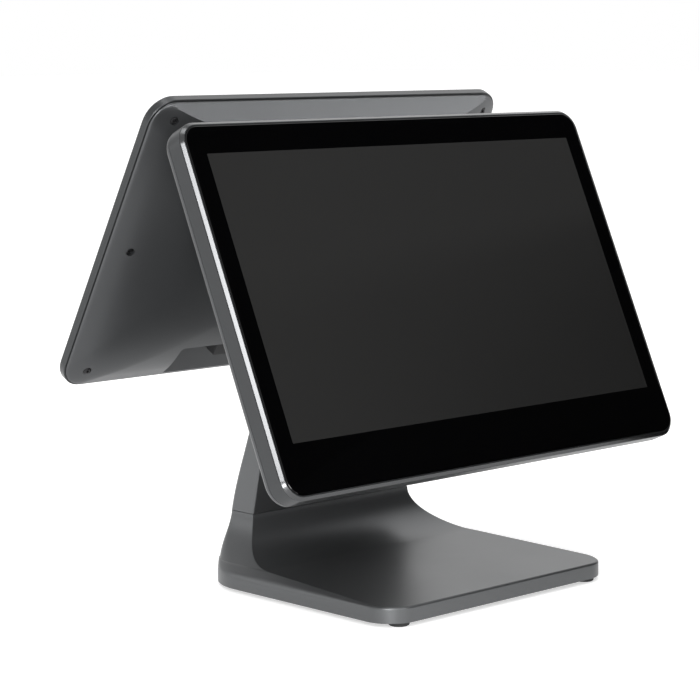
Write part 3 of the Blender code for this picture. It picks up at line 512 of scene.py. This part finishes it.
def neck_pieces():
    bottom = SWEEP_TOP + GAP
    rings = [neck_ring(bottom, 0.0001), neck_ring(bottom + 0.0001)]
    rings += [neck_ring(z) for z in neck_levels(bottom + 0.003, NECK_TOP - 0.0012)]
    rings += [neck_ring(NECK_TOP - 0.0004, 0.0003), neck_ring(NECK_TOP, 0.0011)]
    made = object_from(loft(rings), "neck_shell_skin", paint)
    inner, hollow, opening = NECK_HALF - NECK_WALL, [], []
    for z in neck_levels(SWEEP_TOP - 0.005, NECK_TOP - NECK_WALL, 9):
        hollow.append(flat_slice(z, inner, neck_front(z) + NECK_WALL, neck_rear(z) - NECK_WALL - GAP))
    for z in neck_levels(SWEEP_TOP - 0.005, 0.2143, 24):
        opening.append(flat_slice(z, 0.0673, neck_front(z) + NECK_WALL + 0.001, neck_rear(z) + 0.005))
    carve(made, loft(hollow))
    carve(made, loft(opening))
    carve(made, loft([flat_slice(z, HEAD_HALF - 0.0007, neck_front(z) + 0.0061, neck_front(z) + 0.0112)
                      for z in TONGUE_LEVELS]))
    put(made, "stand", "grey_painted_casting", "neck_shell", angle=38)

    rings = []
    for z in neck_levels(bottom + 0.0002, 0.214, 24):
        rear = neck_rear(z)
        points = rounded(-0.067, 0.067, rear - 0.0022, rear, 0.0002, 0.0006, steps=2)
        rings.append(at_height(points, z))
    cover = object_from(loft(rings), "neck_rear_panel", shell_paint_with_painted_shade)
    slot = rounded(-0.022, 0.022, 0.150, 0.164, 0.004, steps=6)
    carve(cover, loft([at_depth(slot, y) for y in (-0.02, 0.06)]))
    for z in (0.0750, 0.1950):
        for x in (-0.048, 0.048):
            grip = around((x, z), 0.008, 0.0012, 0.0011, steps=4)
            carve(cover, loft([at_depth(grip, neck_rear(z) + depth) for depth in (-0.0009, 0.01)]))
    put(cover, "stand", "grey_painted_plastic", "neck_rear_cover", angle=38)


def foot_pieces():
    for number, (x, y) in enumerate(((-0.091, -0.129), (0.091, -0.129), (-0.080, 0.029), (0.080, 0.029)), 1):
        profile = [(0, 0), (0.0060, 0), (0.0066, 0.0003), (0.0070, 0.0009), (0.0070, 0.0027), (0, 0.0027)]
        pad = object_from(turned(profile, (x, y, 0)), f"foot_pad_{number}", rubber)
        put(pad, "stand", "black_rubber", f"rubber_foot_{number}", angle=50)
    inset, edge, low, high = 0.0033, 0.0004, 0.0032, 0.0047
    wide, narrow = (front_path(inset + step, SWEEP_Y)
                    + rear_path(BASE_HALF - inset - step, SWEEP_Y, BASE_REAR - inset - step, 0.0397 - step)
                    for step in (0.0, edge))
    plate = object_from(loft([at_height(narrow, low), at_height(wide, low + edge), at_height(wide, high)]),
                        "base_bottom_plate", sheet_steel)
    carve(plate, box((-0.017, BASE_REAR - 0.020, -0.005), (0.017, BASE_REAR + 0.005, 0.018)))
    recess = bmesh.new()
    for x in (-0.060, 0.0, 0.060):
        slot = around((x, -0.060), 0.020, 0.0030, 0.0030)
        loft([at_height(slot, z) for z in (0.0, low + 0.0005)], builder=recess)
    carve(plate, recess)
    put(plate, "stand", "black_sheet_steel", "base_bottom_cover", angle=38)
    heads = bmesh.new()
    for x, y in ((-0.096, -0.105), (0.096, -0.105), (-0.098, -0.020), (0.098, -0.020), (-0.050, 0.044),
                 (0.050, 0.044)):
        screw_head(heads, (x, y, low), 0.0028, 0.0011, "Z", -1)
    put(object_from(heads, "bottom_plate_screws", steel), "stand", "plated_steel", angle=30)


# ------------------------------------------------------------------ screws and hinges
SCREW_RADIUS, SCREW_HEIGHT = 0.0026, 0.0016
SHANK_RADIUS, SCREW_HOLE = 0.0015, 0.0018
MAIN_AXIS, CUSTOMER_AXIS = (-0.009, 0.240), (0.017, 0.232)
SHAFT_HALF, SHAFT_RADIUS, SHAFT_BORE = 0.048, 0.005, 0.00506
HEAD_HALF = 0.033
TONGUE_LEVELS = (0.178, 0.229)
PLATE, PLATE_CORNER = 0.0025, 0.006
NUT_LENGTH, NUT_RADIUS = 0.007, 0.008


def screw_head(builder, seat, radius, height, axis, way=1, shank=0.0):
    """A domed head with a six-sided socket. Its seat faces the metal and it stands out by its height."""
    sides = 36
    socket = radius * 0.42
    matrix = Matrix.Translation(seat) @ TURNS[axis]
    if way < 0:
        matrix = matrix @ Matrix.Rotation(math.pi, 4, "X")

    def round_ring(r, h):
        return [matrix @ Vector((x, y, h)) for x, y in circle(r, sides)]

    def hexagon(r, h):
        points = []
        for i in range(sides):
            a = 2 * math.pi * i / sides
            sector = (a % (math.pi / 3)) - math.pi / 6
            edge = r * math.cos(math.pi / 6) / math.cos(sector)
            points.append(matrix @ Vector((edge * math.cos(a), edge * math.sin(a), h)))
        return points

    rings = [round_ring(SHANK_RADIUS, -shank), round_ring(SHANK_RADIUS, 0.0)] if shank else []
    dome = ((1.0, 0.0), (1.0, 0.45), (0.93, 0.78), (0.75, 0.96), (0.55, 1.0))
    rings += [round_ring(radius * across, height * up) for across, up in dome]
    rings += [hexagon(socket, height), hexagon(socket * 0.97, height * 0.25)]
    loft(rings, builder=builder)


def hinge_pieces():
    axes = [(0, *MAIN_AXIS), (0, *CUSTOMER_AXIS)]
    root = box((-HEAD_HALF, -0.007, NECK_TOP + 0.001), (HEAD_HALF, 0.011, NECK_TOP + 0.006))
    head = object_from(hull(cylinders(axes, 0.010, 2 * HEAD_HALF, "X", sides=64), root), "hinge_head_casting",
                       casting)
    tongue = loft([flat_slice(z, HEAD_HALF - 0.001, neck_front(z) + 0.0064, neck_front(z) + 0.0109)
                   for z in TONGUE_LEVELS])
    carve(head, tongue, "UNION")
    round_edges(head, 0.0008, 3, 50)
    carve(head, cylinders(axes, SHAFT_BORE, 0.1, "X", sides=48))
    for x in (-0.011, 0.011):
        pocket = rounded(x - 0.008, x + 0.008, 0.0028, 0.0072, 0.002, steps=5)
        carve(head, loft([at_height(pocket, z) for z in (0.244, 0.260)]))
    put(head, "stand", "dark_casting", "hinge_head", angle=30)
    for label, axis in (("main", MAIN_AXIS), ("customer", CUSTOMER_AXIS)):
        end = SHAFT_HALF
        profile = [(0, -end), (SHAFT_RADIUS - 0.0008, -end), (SHAFT_RADIUS, -end + 0.0008),
                   (SHAFT_RADIUS, end - 0.0008), (SHAFT_RADIUS - 0.0008, end), (0, end)]
        shaft = object_from(turned(profile, (0, *axis), "X", 48), f"{label}_hinge_pin", steel)
        for x in (-end + 0.002, end - 0.002):
            carve(shaft, groove(SHAFT_RADIUS + 0.0004, SHAFT_RADIUS - 0.0006, 0.0009, (x, *axis)))
        put(shaft, "stand", "plated_steel", f"{label}_hinge_shaft", angle=35)
        for side, sign in (("left", -1), ("right", 1)):
            place = (sign * (HEAD_HALF + 0.005 + 3 * GAP + 0.0035), *axis)
            made = object_from(cylinders([place], NUT_RADIUS, NUT_LENGTH, "X", sides=6),
                               f"{label}_friction_nut_{side}", steel)
            corners = [(0, -0.0036), (0.0066, -0.0036), (0.0084, -0.0024), (0.0084, 0.0024), (0.0066, 0.0036),
                       (0, 0.0036)]
            carve(made, turned(corners, place, "X", 48), "INTERSECT")
            carve(made, cylinders([place], SHAFT_BORE, 0.03, "X", sides=48))
            put(made, "stand", "plated_steel", f"{label}_hinge_nut_{side}", angle=30)


def groove(outer, inner, width, place):
    """A flat ring on an X axis, which cuts a groove round a shaft."""
    rings = []
    for radius, x in ((outer, -width / 2), (outer, width / 2), (inner, width / 2), (inner, -width / 2)):
        rings.append([(place[0] + x, place[1] + u, place[2] + v) for u, v in circle(radius, 48)])
    return loft(rings, closed=True)


def bracket_piece(label, body, place, axis, plate_depth, low, high, half, holes):
    """A pressed plate with an ear at each end of the hinge head."""
    local = place.inverted() @ Vector((0, *axis))
    depth, height = local.y, local.z
    edge = 0.0005
    points = rounded(-half, half, low, high, PLATE_CORNER)
    small = rounded(-half + edge, half - edge, low + edge, high - edge, PLATE_CORNER - edge)
    sheet = loft([at_depth(points, plate_depth), at_depth(points, plate_depth + PLATE - edge),
                  at_depth(small, plate_depth + PLATE)])
    made = object_from(sheet, f"{label}_hinge_plate", casting)
    near = HEAD_HALF + 2 * GAP
    for side in (-1, 1):
        x = side * (near + 0.0025)
        knuckle = cylinders([(x, depth, height)], 0.009, 0.005, "X", sides=56)
        root = box((x - 0.0025, plate_depth + edge, height - 0.021),
                   (x + 0.0025, plate_depth + PLATE - edge, height + 0.010))
        carve(made, hull(knuckle, root), "UNION")
    carve(made, cylinders([(0, depth, height)], SHAFT_BORE, 0.2, "X", sides=48))
    carve(made, cylinders([(x, plate_depth, z) for x, z in holes], SCREW_HOLE, 0.02, "Y", sides=24))
    round_edges(made, 0.0003, 2, 60)
    put(made, body, "dark_casting", f"{label}_hinge_bracket", place=place, angle=30)


# ------------------------------------------------------------------ displays
GLASS_INSET = 0.0034


def rim_ring(size, inset, depth, radius, steps=10):
    width, height = size
    return at_depth(rounded(-width / 2 + inset, width / 2 - inset, -height / 2 + inset, height / 2 - inset,
                            max(radius - inset, 0.0015), steps=steps), depth)


def frame_piece(label, body, place, size, depth, radius, chamfer, glass_inset, glass_back, cutters=()):
    """The rim: outer wall, bright chamfer, a pocket for the glass and a ledge under it."""
    wall, ledge, ledge_back = 0.0025, glass_inset + 0.008, glass_back + 0.0017
    outer = filleted([(0.0004, depth, 0), (0, depth - 0.0004, 0.0002), (0, GAP + chamfer, 0.0012),
                      (chamfer, GAP, 0.0003), (glass_inset - GAP, GAP, 0)], steps=4)
    inner = [(glass_inset - GAP, glass_back + GAP), (ledge, glass_back + GAP), (ledge, ledge_back),
             (wall, ledge_back), (wall, depth)]
    rings = [rim_ring(size, inset, at, radius) for inset, at in outer + inner]
    made = object_from(loft(rings, closed=True), f"{label}_rim", frame_paint, polished)
    for builder in cutters:
        carve(made, builder)
    for face in made.data.polygons:
        middle = face.center
        from_edge = min(size[0] / 2 - abs(middle.x), size[1] / 2 - abs(middle.z))
        slanted = -0.95 < face.normal.y < -0.3
        if slanted and middle.y < GAP + chamfer and from_edge < chamfer + 0.004:
            face.material_index = 1
    put(made, body, "grey_painted_casting", f"{label}_frame", place=place, angle=25)


def glass_piece(label, body, place, size, radius, inset, back, picture_size, picture_rise):
    """The cover glass: its front is one flat face, with the picture area let into the black border."""
    builder = bmesh.new()
    rings = [rim_ring(size, inset, back, radius), rim_ring(size, inset, 0.0005, radius),
             rim_ring(size, inset + 0.00015, 0.00015, radius), rim_ring(size, inset + 0.0005, 0.0, radius)]
    made = [[builder.verts.new(point) for point in ring] for ring in rings]
    join(builder, made)
    builder.faces.new(made[0])
    half_x, half_z = picture_size[0] / 2, picture_size[1] / 2
    inner = [builder.verts.new((x, 0.0, z + picture_rise)) for x, z in
             ((half_x, -half_z), (half_x, half_z), (-half_x, half_z), (-half_x, -half_z))]
    builder.faces.new(inner).material_index = 1
    # The border's four bands: each joins one side of the outline to one side of the picture area.
    outline, count = made[-1], len(made[-1]) // 4
    middles = [count * k + count // 2 for k in range(4)]
    for k in range(4):
        start, end = middles[k], middles[(k + 1) % 4]
        run = [outline[(start + i) % len(outline)] for i in range((end - start) % len(outline) + 1)]
        builder.faces.new(run + [inner[(k + 1) % 4], inner[k]])
    bmesh.ops.recalc_face_normals(builder, faces=builder.faces)
    put(object_from(builder, f"{label}_cover_glass", glass, picture), body, "black_glass", f"{label}_glass",
        place=place, angle=20)


def drilled(places, radius, near, far, sides=24):
    return cylinders([(x, (near + far) / 2, z) for x, z in places], radius, far - near, "Y", sides=sides)


MAIN_SIZE, MAIN_DEPTH, MAIN_CORNER = (0.379, 0.2525), 0.038, 0.015
MAIN_GLASS = 0.003
MAIN_BAY, MAIN_BAY_TOP, MAIN_BAY_DEPTH = 0.105, -0.072, 0.020
BUTTON_PLACE = (0.010, -0.088)
MAIN_BOSSES = [(x, z) for x in (-0.125, 0.125) for z in (-0.050, 0.062)]
MAIN_PLATE_HOLES = [(x, z) for x in (-0.0375, 0.0375) for z in (-0.016, 0.028)]
MAIN_BACK = ((0.0146, 0.0003, 0.0147), (0.0172, 0.0005, 0.0146), (0.0195, 0.0022, 0.0142),
             (0.0212, 0.0060, 0.0138), (0.0330, 0.0385, 0.0120), (0.0360, 0.0455, 0.0115),
             (0.0380, 0.0520, 0.0110), (0.0380, 0.0560, 0.0105))


def main_back():
    def rings(rows, wall):
        made = []
        for depth, inset, radius in rows:
            made.append(rim_ring(MAIN_SIZE, inset + wall, depth, radius + inset + wall * 0.3))
        return made

    made = object_from(loft(rings(smoothed(MAIN_BACK, 3), 0.0)), "main_back_shell", shell_paint_with_painted_shade)
    wall = 0.0025
    inner = [(0.0096, 0.0003, 0.0147)] + [(d - wall if d > 0.0146 else d, i, r) for d, i, r in MAIN_BACK]
    hollow = object_from(loft(rings(inner, wall)), "hollow")
    carve(hollow, box((-MAIN_BAY - wall, MAIN_BAY_DEPTH - wall, -0.120),
                      (MAIN_BAY + wall, 0.06, MAIN_BAY_TOP + wall)))
    carve(made, hollow)
    bay = rounded(-MAIN_BAY, MAIN_BAY, -0.160, MAIN_BAY_TOP, 0.003, steps=5)
    carve(made, loft([at_depth(bay, MAIN_BAY_DEPTH), at_depth(bay, 0.06)]))
    carve(made, drilled(MAIN_BOSSES + MAIN_PLATE_HOLES, SCREW_HOLE, 0.010, 0.050))
    vents = bmesh.new()
    for group in (-1, 1):
        for number in range(8):
            x = group * (0.070 + 0.0075 * (number - 3.5))
            stadium(x, 0.020, 0.058, 0.00125, 0.030, 0.045, vents)
    carve(made, vents)
    grille = bmesh.new()
    for sign in (-1, 1):
        for row in range(4):
            for column in range(9):
                place = (sign * (0.127 + 0.004 * column), 0.030, -0.098 + 0.004 * row)
                cylinders([place], 0.0011, 0.030, "Y", sides=12, builder=grille)
    carve(made, grille)
    put(made, "main_display", "grey_painted_plastic", "main_back_cover", place=MAIN, angle=32)


def sockets(label, body, place, kinds, pitch, low, high):
    """A bar of connectors that open downwards, with their shells, tongues and contacts."""
    made = object_from(box(low, high), f"{label}_connector_bar", plastic)
    start = -pitch * (len(kinds) - 1) / 2
    middle = (low[1] + high[1]) / 2
    half_depth = (high[1] - low[1]) / 2 - 0.0012
    holes, shells, tongues, contacts = bmesh.new(), bmesh.new(), bmesh.new(), bmesh.new()
    for number, (kind, width) in enumerate(kinds):
        x = start + pitch * number
        left, right = x - width / 2, x + width / 2
        near, far = middle - half_depth, middle + half_depth
        mouth, floor = low[2], high[2] - 0.002
        box((left, near, mouth - 0.005), (right, far, floor), holes)
        if kind == "barrel":
            pin_profile = [(0, mouth + 0.0012), (0.0007, mouth + 0.0012), (0.0011, mouth + 0.0017),
                           (0.0011, floor - 0.0002), (0, floor - 0.0002)]
            turned(pin_profile, (x, middle, 0), "Z", 20, contacts)
            continue
        if kind == "port":
            for step in range(8):
                cx = x + (step - 3.5) * 0.00105
                box((cx - 0.0003, near + 0.0004, mouth + 0.0022), (cx + 0.0003, near + 0.0009, floor - 0.001),
                    contacts)
            box((left + 0.0004, near + 0.0009, floor - 0.0032), (right - 0.0004, middle, floor - 0.0002),
                tongues)
            continue
        wall = 0.0003
        inner = rounded(left + 2 * wall, right - 2 * wall, near + 2 * wall, far - 2 * wall, 0.0004, steps=3)
        outer = rounded(left + wall, right - wall, near + wall, far - wall, 0.0006, steps=3)
        loft([at_height(outer, mouth + 0.0002), at_height(outer, floor - 0.0002),
              at_height(inner, floor - 0.0002), at_height(inner, mouth + 0.0002)], True, shells)
        levels = (-1, 1) if kind == "double" and half_depth > 0.004 else (0,)
        for level in levels:
            y = middle + level * half_depth * 0.5
            box((left + 0.0022, y - 0.0007, mouth + 0.0016), (right - 0.0022, y + 0.0007, floor - 0.0003),
                tongues)
            for step in range(4):
                cx = x + (step - 1.5) * (width - 0.006) / 4
                box((cx - 0.0005, y - 0.00085, mouth + 0.0019), (cx + 0.0005, y - 0.0007, floor - 0.001),
                    contacts)
    carve(made, holes)
    round_edges(made, 0.0003, 2, 60)
    put(made, body, "black_plastic", f"{label}_connector_block", place=place, angle=30)
    for name, builder, material, slot in ((f"{label}_socket_shells", shells, steel, "plated_steel"),
                                          (f"{label}_socket_tongues", tongues, plastic, "black_plastic"),
                                          (f"{label}_socket_contacts", contacts, gold, "plated_steel")):
        if len(builder.faces):
            put(object_from(builder, name, material), body, slot, place=place, angle=30)


def screws(prefix, body, place, places, seat, shank, node, material=steel):
    for number, (x, z) in enumerate(places, 1):
        builder = bmesh.new()
        screw_head(builder, (x, seat, z), SCREW_RADIUS, SCREW_HEIGHT, "Y", 1, shank)
        put(object_from(builder, f"{prefix}_{number}", material), body, "plated_steel", f"{node}_{number}",
            place=place, angle=30)


def main_display():
    outer = MAIN_SIZE[0] / 2
    hole = around(BUTTON_PLACE, 0.0023, 0.0063, 0.0021)
    button_cut = loft([at_side(hole, x) for x in (outer - 0.010, outer + 0.005)])
    frame_piece("main", "main_display", MAIN, MAIN_SIZE, 0.0143, MAIN_CORNER, 0.0022, GLASS_INSET, MAIN_GLASS,
                [button_cut])
    glass_piece("main", "main_display", MAIN, MAIN_SIZE, MAIN_CORNER, GLASS_INSET, MAIN_GLASS,
                (0.3442, 0.1936), 0.0070)
    main_back()
    sockets("main", "main_display", MAIN,
            (("barrel", 0.009), ("port", 0.010), ("port", 0.0125), ("double", 0.0135), ("double", 0.0135),
             ("port", 0.0125)), 0.028, (-0.084, 0.0203, -0.086), (0.084, 0.0330, -0.0723))
    bracket_piece("main", "main_display", MAIN, MAIN_AXIS, MAIN_DEPTH + GAP, -0.026, 0.070, 0.050,
                  MAIN_PLATE_HOLES)
    screws("main_case_screw", "main_display", MAIN, MAIN_BOSSES, MAIN_DEPTH + 2 * GAP, 0.012,
           "main_cover_screw")
    screws("main_plate_screw", "main_display", MAIN, MAIN_PLATE_HOLES, MAIN_DEPTH + PLATE + 3 * GAP, 0.015,
           "main_bracket_screw")
    cap = around(BUTTON_PLACE, 0.0020, 0.0060, 0.0018)
    small = around(BUTTON_PLACE, 0.0017, 0.0057, 0.0015)
    wide = around(BUTTON_PLACE, 0.0029, 0.0075, 0.0020)
    levels = ((wide, outer - 0.0040), (wide, outer - 0.0030), (cap, outer - 0.0030), (cap, outer - 0.0004),
              (small, outer))
    button = object_from(loft([at_side(points, x) for points, x in levels]), "power_button_cap", button_metal)
    put(button, "power_button", "button_metal", "power_button", place=MAIN, angle=30)


CUSTOMER_SIZE, CUSTOMER_DEPTH, CUSTOMER_CORNER = (0.331, 0.230), 0.024, 0.019
CUSTOMER_GLASS = 0.002
CUSTOMER_BAY, CUSTOMER_BAY_TOP, CUSTOMER_BAY_DEPTH = 0.074, -0.084, 0.0099
CUSTOMER_BOSSES = [(x, z) for z in (-0.100, 0.0, 0.102) for x in (-0.148, 0.148)]
CUSTOMER_PLATE_HOLES = [(x, z) for x in (-0.025, 0.025) for z in (-0.025, 0.025)]
# depth, side inset, top inset, bottom inset, corner radius
CUSTOMER_BACK = ((0.0083, 0.0014, 0.0014, 0.0014, 0.0176), (0.0092, 0.0017, 0.0016, 0.0017, 0.0174),
                 (0.0102, 0.0040, 0.0020, 0.0036, 0.0185), (0.0150, 0.0190, 0.0030, 0.0130, 0.0260),
                 (0.0195, 0.0400, 0.0045, 0.0270, 0.0340), (0.0228, 0.0640, 0.0060, 0.0430, 0.0380),
                 (0.0240, 0.0860, 0.0080, 0.0560, 0.0400), (0.0240, 0.0900, 0.0090, 0.0600, 0.0400))


def customer_back():
    half_x, half_z = CUSTOMER_SIZE[0] / 2, CUSTOMER_SIZE[1] / 2

    def ring(row, wall=0.0, steps=14):
        depth, side, top, bottom, radius = row
        points = rounded(-half_x + side + wall, half_x - side - wall, -half_z + bottom + wall,
                         half_z - top - wall, radius - wall, steps=steps)
        return at_depth(points, depth)

    made = object_from(loft([ring(row) for row in smoothed(CUSTOMER_BACK, 3)]), "customer_back_shell",
                       shell_paint_with_painted_shade)
    carve(made, top_bevel(0.0, half_z))
    wall = 0.0022
    inner = [(0.0033, *CUSTOMER_BACK[0][1:])] + [(row[0] - wall if row[0] > 0.0084 else row[0], *row[1:])
                                                 for row in CUSTOMER_BACK]
    hollow = object_from(loft([ring(row, wall, 8) for row in inner]), "hollow")
    carve(hollow, top_bevel(wall, half_z))
    carve(hollow, drilled(CUSTOMER_BOSSES, 0.0048, 0.0092, 0.0492))
    carve(hollow, box((-CUSTOMER_BAY - wall, CUSTOMER_BAY_DEPTH - wall, -0.112),
                      (CUSTOMER_BAY + wall, 0.04, CUSTOMER_BAY_TOP + wall)))
    carve(made, hollow)
    bay = rounded(-CUSTOMER_BAY, CUSTOMER_BAY, -0.150, CUSTOMER_BAY_TOP, 0.003, steps=5)
    carve(made, loft([at_depth(bay, CUSTOMER_BAY_DEPTH), at_depth(bay, 0.04)]))
    carve(made, drilled(CUSTOMER_BOSSES, 0.0030, 0.0112, 0.0500, 32))
    carve(made, drilled(CUSTOMER_BOSSES + CUSTOMER_PLATE_HOLES, SCREW_HOLE, 0.004, 0.040))
    put(made, "customer_display", "grey_painted_plastic", "customer_back_cover", place=CUSTOMER, angle=22)


def top_bevel(wall, half_z):
    """Everything behind the slanting flat that runs along the top of the customer display's back."""
    start = Vector((0.0095 - wall, half_z - 0.0020 - wall * 0.3))
    along = Vector((0.0145, -0.0180)).normalized()
    first, last = start - along * 0.02, start + along * 0.06
    section = [first, last, last + Vector((0.05, 0.05)), first + Vector((0.05, 0.05))]
    return loft([at_side(section, x) for x in (-0.2, 0.2)])


def customer_display():
    frame_piece("customer", "customer_display", CUSTOMER, CUSTOMER_SIZE, 0.008, CUSTOMER_CORNER, 0.0020,
                GLASS_INSET, CUSTOMER_GLASS)
    glass_piece("customer", "customer_display", CUSTOMER, CUSTOMER_SIZE, CUSTOMER_CORNER, GLASS_INSET,
                CUSTOMER_GLASS, (0.304, 0.190), 0.004)
    customer_back()
    sockets("customer", "customer_display", CUSTOMER,
            (("double", 0.015), ("double", 0.0135), ("barrel", 0.009)), 0.024,
            (-0.040, 0.0102, -0.094), (0.040, 0.0190, -0.0843))
    bracket_piece("customer", "customer_display", CUSTOMER, CUSTOMER_AXIS, CUSTOMER_DEPTH + GAP, -0.036,
                  0.050, 0.045, CUSTOMER_PLATE_HOLES)
    screws("customer_case_screw", "customer_display", CUSTOMER, CUSTOMER_BOSSES, 0.0115, 0.0035,
           "customer_cover_screw", black_steel)
    screws("customer_plate_screw", "customer_display", CUSTOMER, CUSTOMER_PLATE_HOLES,
           CUSTOMER_DEPTH + PLATE + 2 * GAP, 0.012, "customer_bracket_screw")


# ------------------------------------------------------------------ CAD pieces that stay

KEPT = (
    (("ballast_plate", "stand_spine", "main_chassis", "customer_chassis"), sheet_steel, 0.0004),
    (("main_lcd_panel", "customer_lcd_panel"), lcd, 0.0004),
    (("mainboard", "memory_module", "customer_driver_board", "power_switch_board"), board, 0.0001),
    (("solid_state_drive", "speaker_left", "speaker_right", "fan_housing", "fan_rotor"), plastic, 0.0002),
    (("heatsink",), aluminium, 0.0002),
)


def keep_inner_pieces():
    for names, material, width in KEPT:
        for name in names:
            kept = nodes[name]
            kept.data.materials.clear()
            kept.data.materials.append(material)
            modifier = kept.modifiers.new("round", "BEVEL")
            modifier.width = width
            modifier.limit_method = "ANGLE"
            modifier.angle_limit = math.radians(50)


# ------------------------------------------------------------------ camera, light and floor
EYE = (-1.1330, -1.1789, 0.3673)
YAW, PITCH, ROLL = 43.60, 7.25, -0.34
SKY_LEVEL = 0.80
# direction, inner and outer angle in degrees, and the level that the sky reaches there
SKY_PATCHES = (((0.70, 0.66, 0.28), 24, 50, 1.10), ((-1.0, 0.10, 0.05), 14, 34, 0.30),
               ((0.684, 0.266, 0.678), 10, 26, 1.60), ((0.684, -0.574, 0.449), 15, 25, 0.004))
# name, direction, distance, width and height, and power
SOFTBOXES = (("key", (-0.70, -0.56, 0.45), 2.2, (0.7, 0.7), 22),
             ("top", (-0.10, -0.07, 0.99), 2.0, (0.8, 0.8), 14),
             ("front_strip", (0.684, -0.709, 0.172), 2.5, (1.8, 0.24), 18),
             ("front", (0.05, -1.0, 0.25), 2.2, (0.8, 0.6), 14),
             ("by_the_camera", (-0.67, -0.70, 0.07), 2.6, (0.55, 0.45), 26),
             ("rear_left", (-0.62, 0.72, 0.28), 2.4, (0.5, 1.2), 3))


def camera():
    yaw, pitch, roll = (math.radians(angle) for angle in (YAW, PITCH, ROLL))
    forward = Vector((math.sin(yaw) * math.cos(pitch), math.cos(yaw) * math.cos(pitch), -math.sin(pitch)))
    side = Vector((math.cos(yaw), -math.sin(yaw), 0))
    up = side.cross(forward)
    right = math.cos(roll) * side + math.sin(roll) * up
    above = -math.sin(roll) * side + math.cos(roll) * up
    data = bpy.data.cameras.new("camera")
    data.lens = 120.49
    data.sensor_width = 36.0
    data.clip_start = 0.05
    data.clip_end = 60.0
    made = bpy.data.objects.new("camera", data)
    scene.collection.objects.link(made)
    turn = Matrix((right, above, -forward)).transposed().to_4x4()
    made.matrix_world = Matrix.Translation(EYE) @ turn
    scene.camera = made


def softbox(name, direction, distance, size, power, target=(0, 0, 0.17)):
    data = bpy.data.lights.new(name, "AREA")
    data.shape = "RECTANGLE"
    data.size, data.size_y = size
    data.energy = power
    made = bpy.data.objects.new(name, data)
    scene.collection.objects.link(made)
    towards = Vector(direction).normalized()
    made.location = Vector(target) + towards * distance
    made.rotation_euler = towards.to_track_quat("Z", "Y").to_euler()


def toward(tree, place, direction, inner, outer):
    """1 within the inner angle of a direction, falling to 0 at the outer one."""
    facing = tree.nodes.new("ShaderNodeVectorMath")
    facing.operation = "DOT_PRODUCT"
    facing.inputs[1].default_value = Vector(direction).normalized()
    tree.links.new(place, facing.inputs[0])
    spread = node_of(tree, "ShaderNodeMapRange", From_Min=math.cos(math.radians(outer)),
                     From_Max=math.cos(math.radians(inner)))
    spread.interpolation_type = "SMOOTHSTEP"
    tree.links.new(facing.outputs["Value"], spread.inputs["Value"])
    return spread.outputs["Result"]


def pale_floor():
    builder = bmesh.new()
    bmesh.ops.create_grid(builder, x_segments=8, y_segments=8, size=30.0)
    pale = surface("pale_floor", (0.84, 0.84, 0.84), 0.85, mottle=0.0, rough_spread=0.0, specular=0.1)
    glow = pale.node_tree.nodes["Principled BSDF"]
    glow.inputs["Emission Color"].default_value = (1, 1, 1, 1)
    glow.inputs["Emission Strength"].default_value = 0.56
    floor = object_from(builder, "floor", pale)


def black_card():
    """A studio card to the right of the stand, hidden from the camera.

    It blocks light and shows in reflections, which keeps the neck's front dark.
    """
    side, ahead = Vector((0.724, -0.690, 0)), Vector((0.690, 0.724, 0))
    near, far, low, high = -0.40, 0.18, 0.002, 0.27
    builder = bmesh.new()
    corners = [side * 0.32 + ahead * along + Vector((0, 0, z))
               for along, z in ((near, low), (far, low), (far, high), (near, high))]
    builder.faces.new([builder.verts.new(corner) for corner in corners])
    black = surface("card_black", (0.01, 0.01, 0.01), 0.9, mottle=0.0, rough_spread=0.0, specular=0.0)
    card = object_from(builder, "black_card", black)
    card.visible_camera = False


def sky():
    """Soft light with brighter and darker patches. The camera itself sees plain white behind the object."""
    world = bpy.data.worlds.new("studio")
    scene.world = world
    world.use_nodes = True
    tree = world.node_tree
    place = tree.nodes.new("ShaderNodeTexCoord").outputs["Generated"]
    level = [SKY_LEVEL] * 3
    for direction, inner, outer, value in SKY_PATCHES:
        level = mix_of(tree, toward(tree, place, direction, inner, outer), level, [value] * 3)
    seen = tree.nodes.new("ShaderNodeLightPath").outputs["Is Camera Ray"]
    tree.links.new(mix_of(tree, seen, level, (1, 1, 1)), tree.nodes["Background"].inputs["Color"])


base_piece()
neck_pieces()
foot_pieces()
hinge_pieces()
main_display()
customer_display()
keep_inner_pieces()
camera()
pale_floor()
black_card()
sky()
for settings in SOFTBOXES:
    softbox(*settings)
scene.view_settings.view_transform = "Standard"
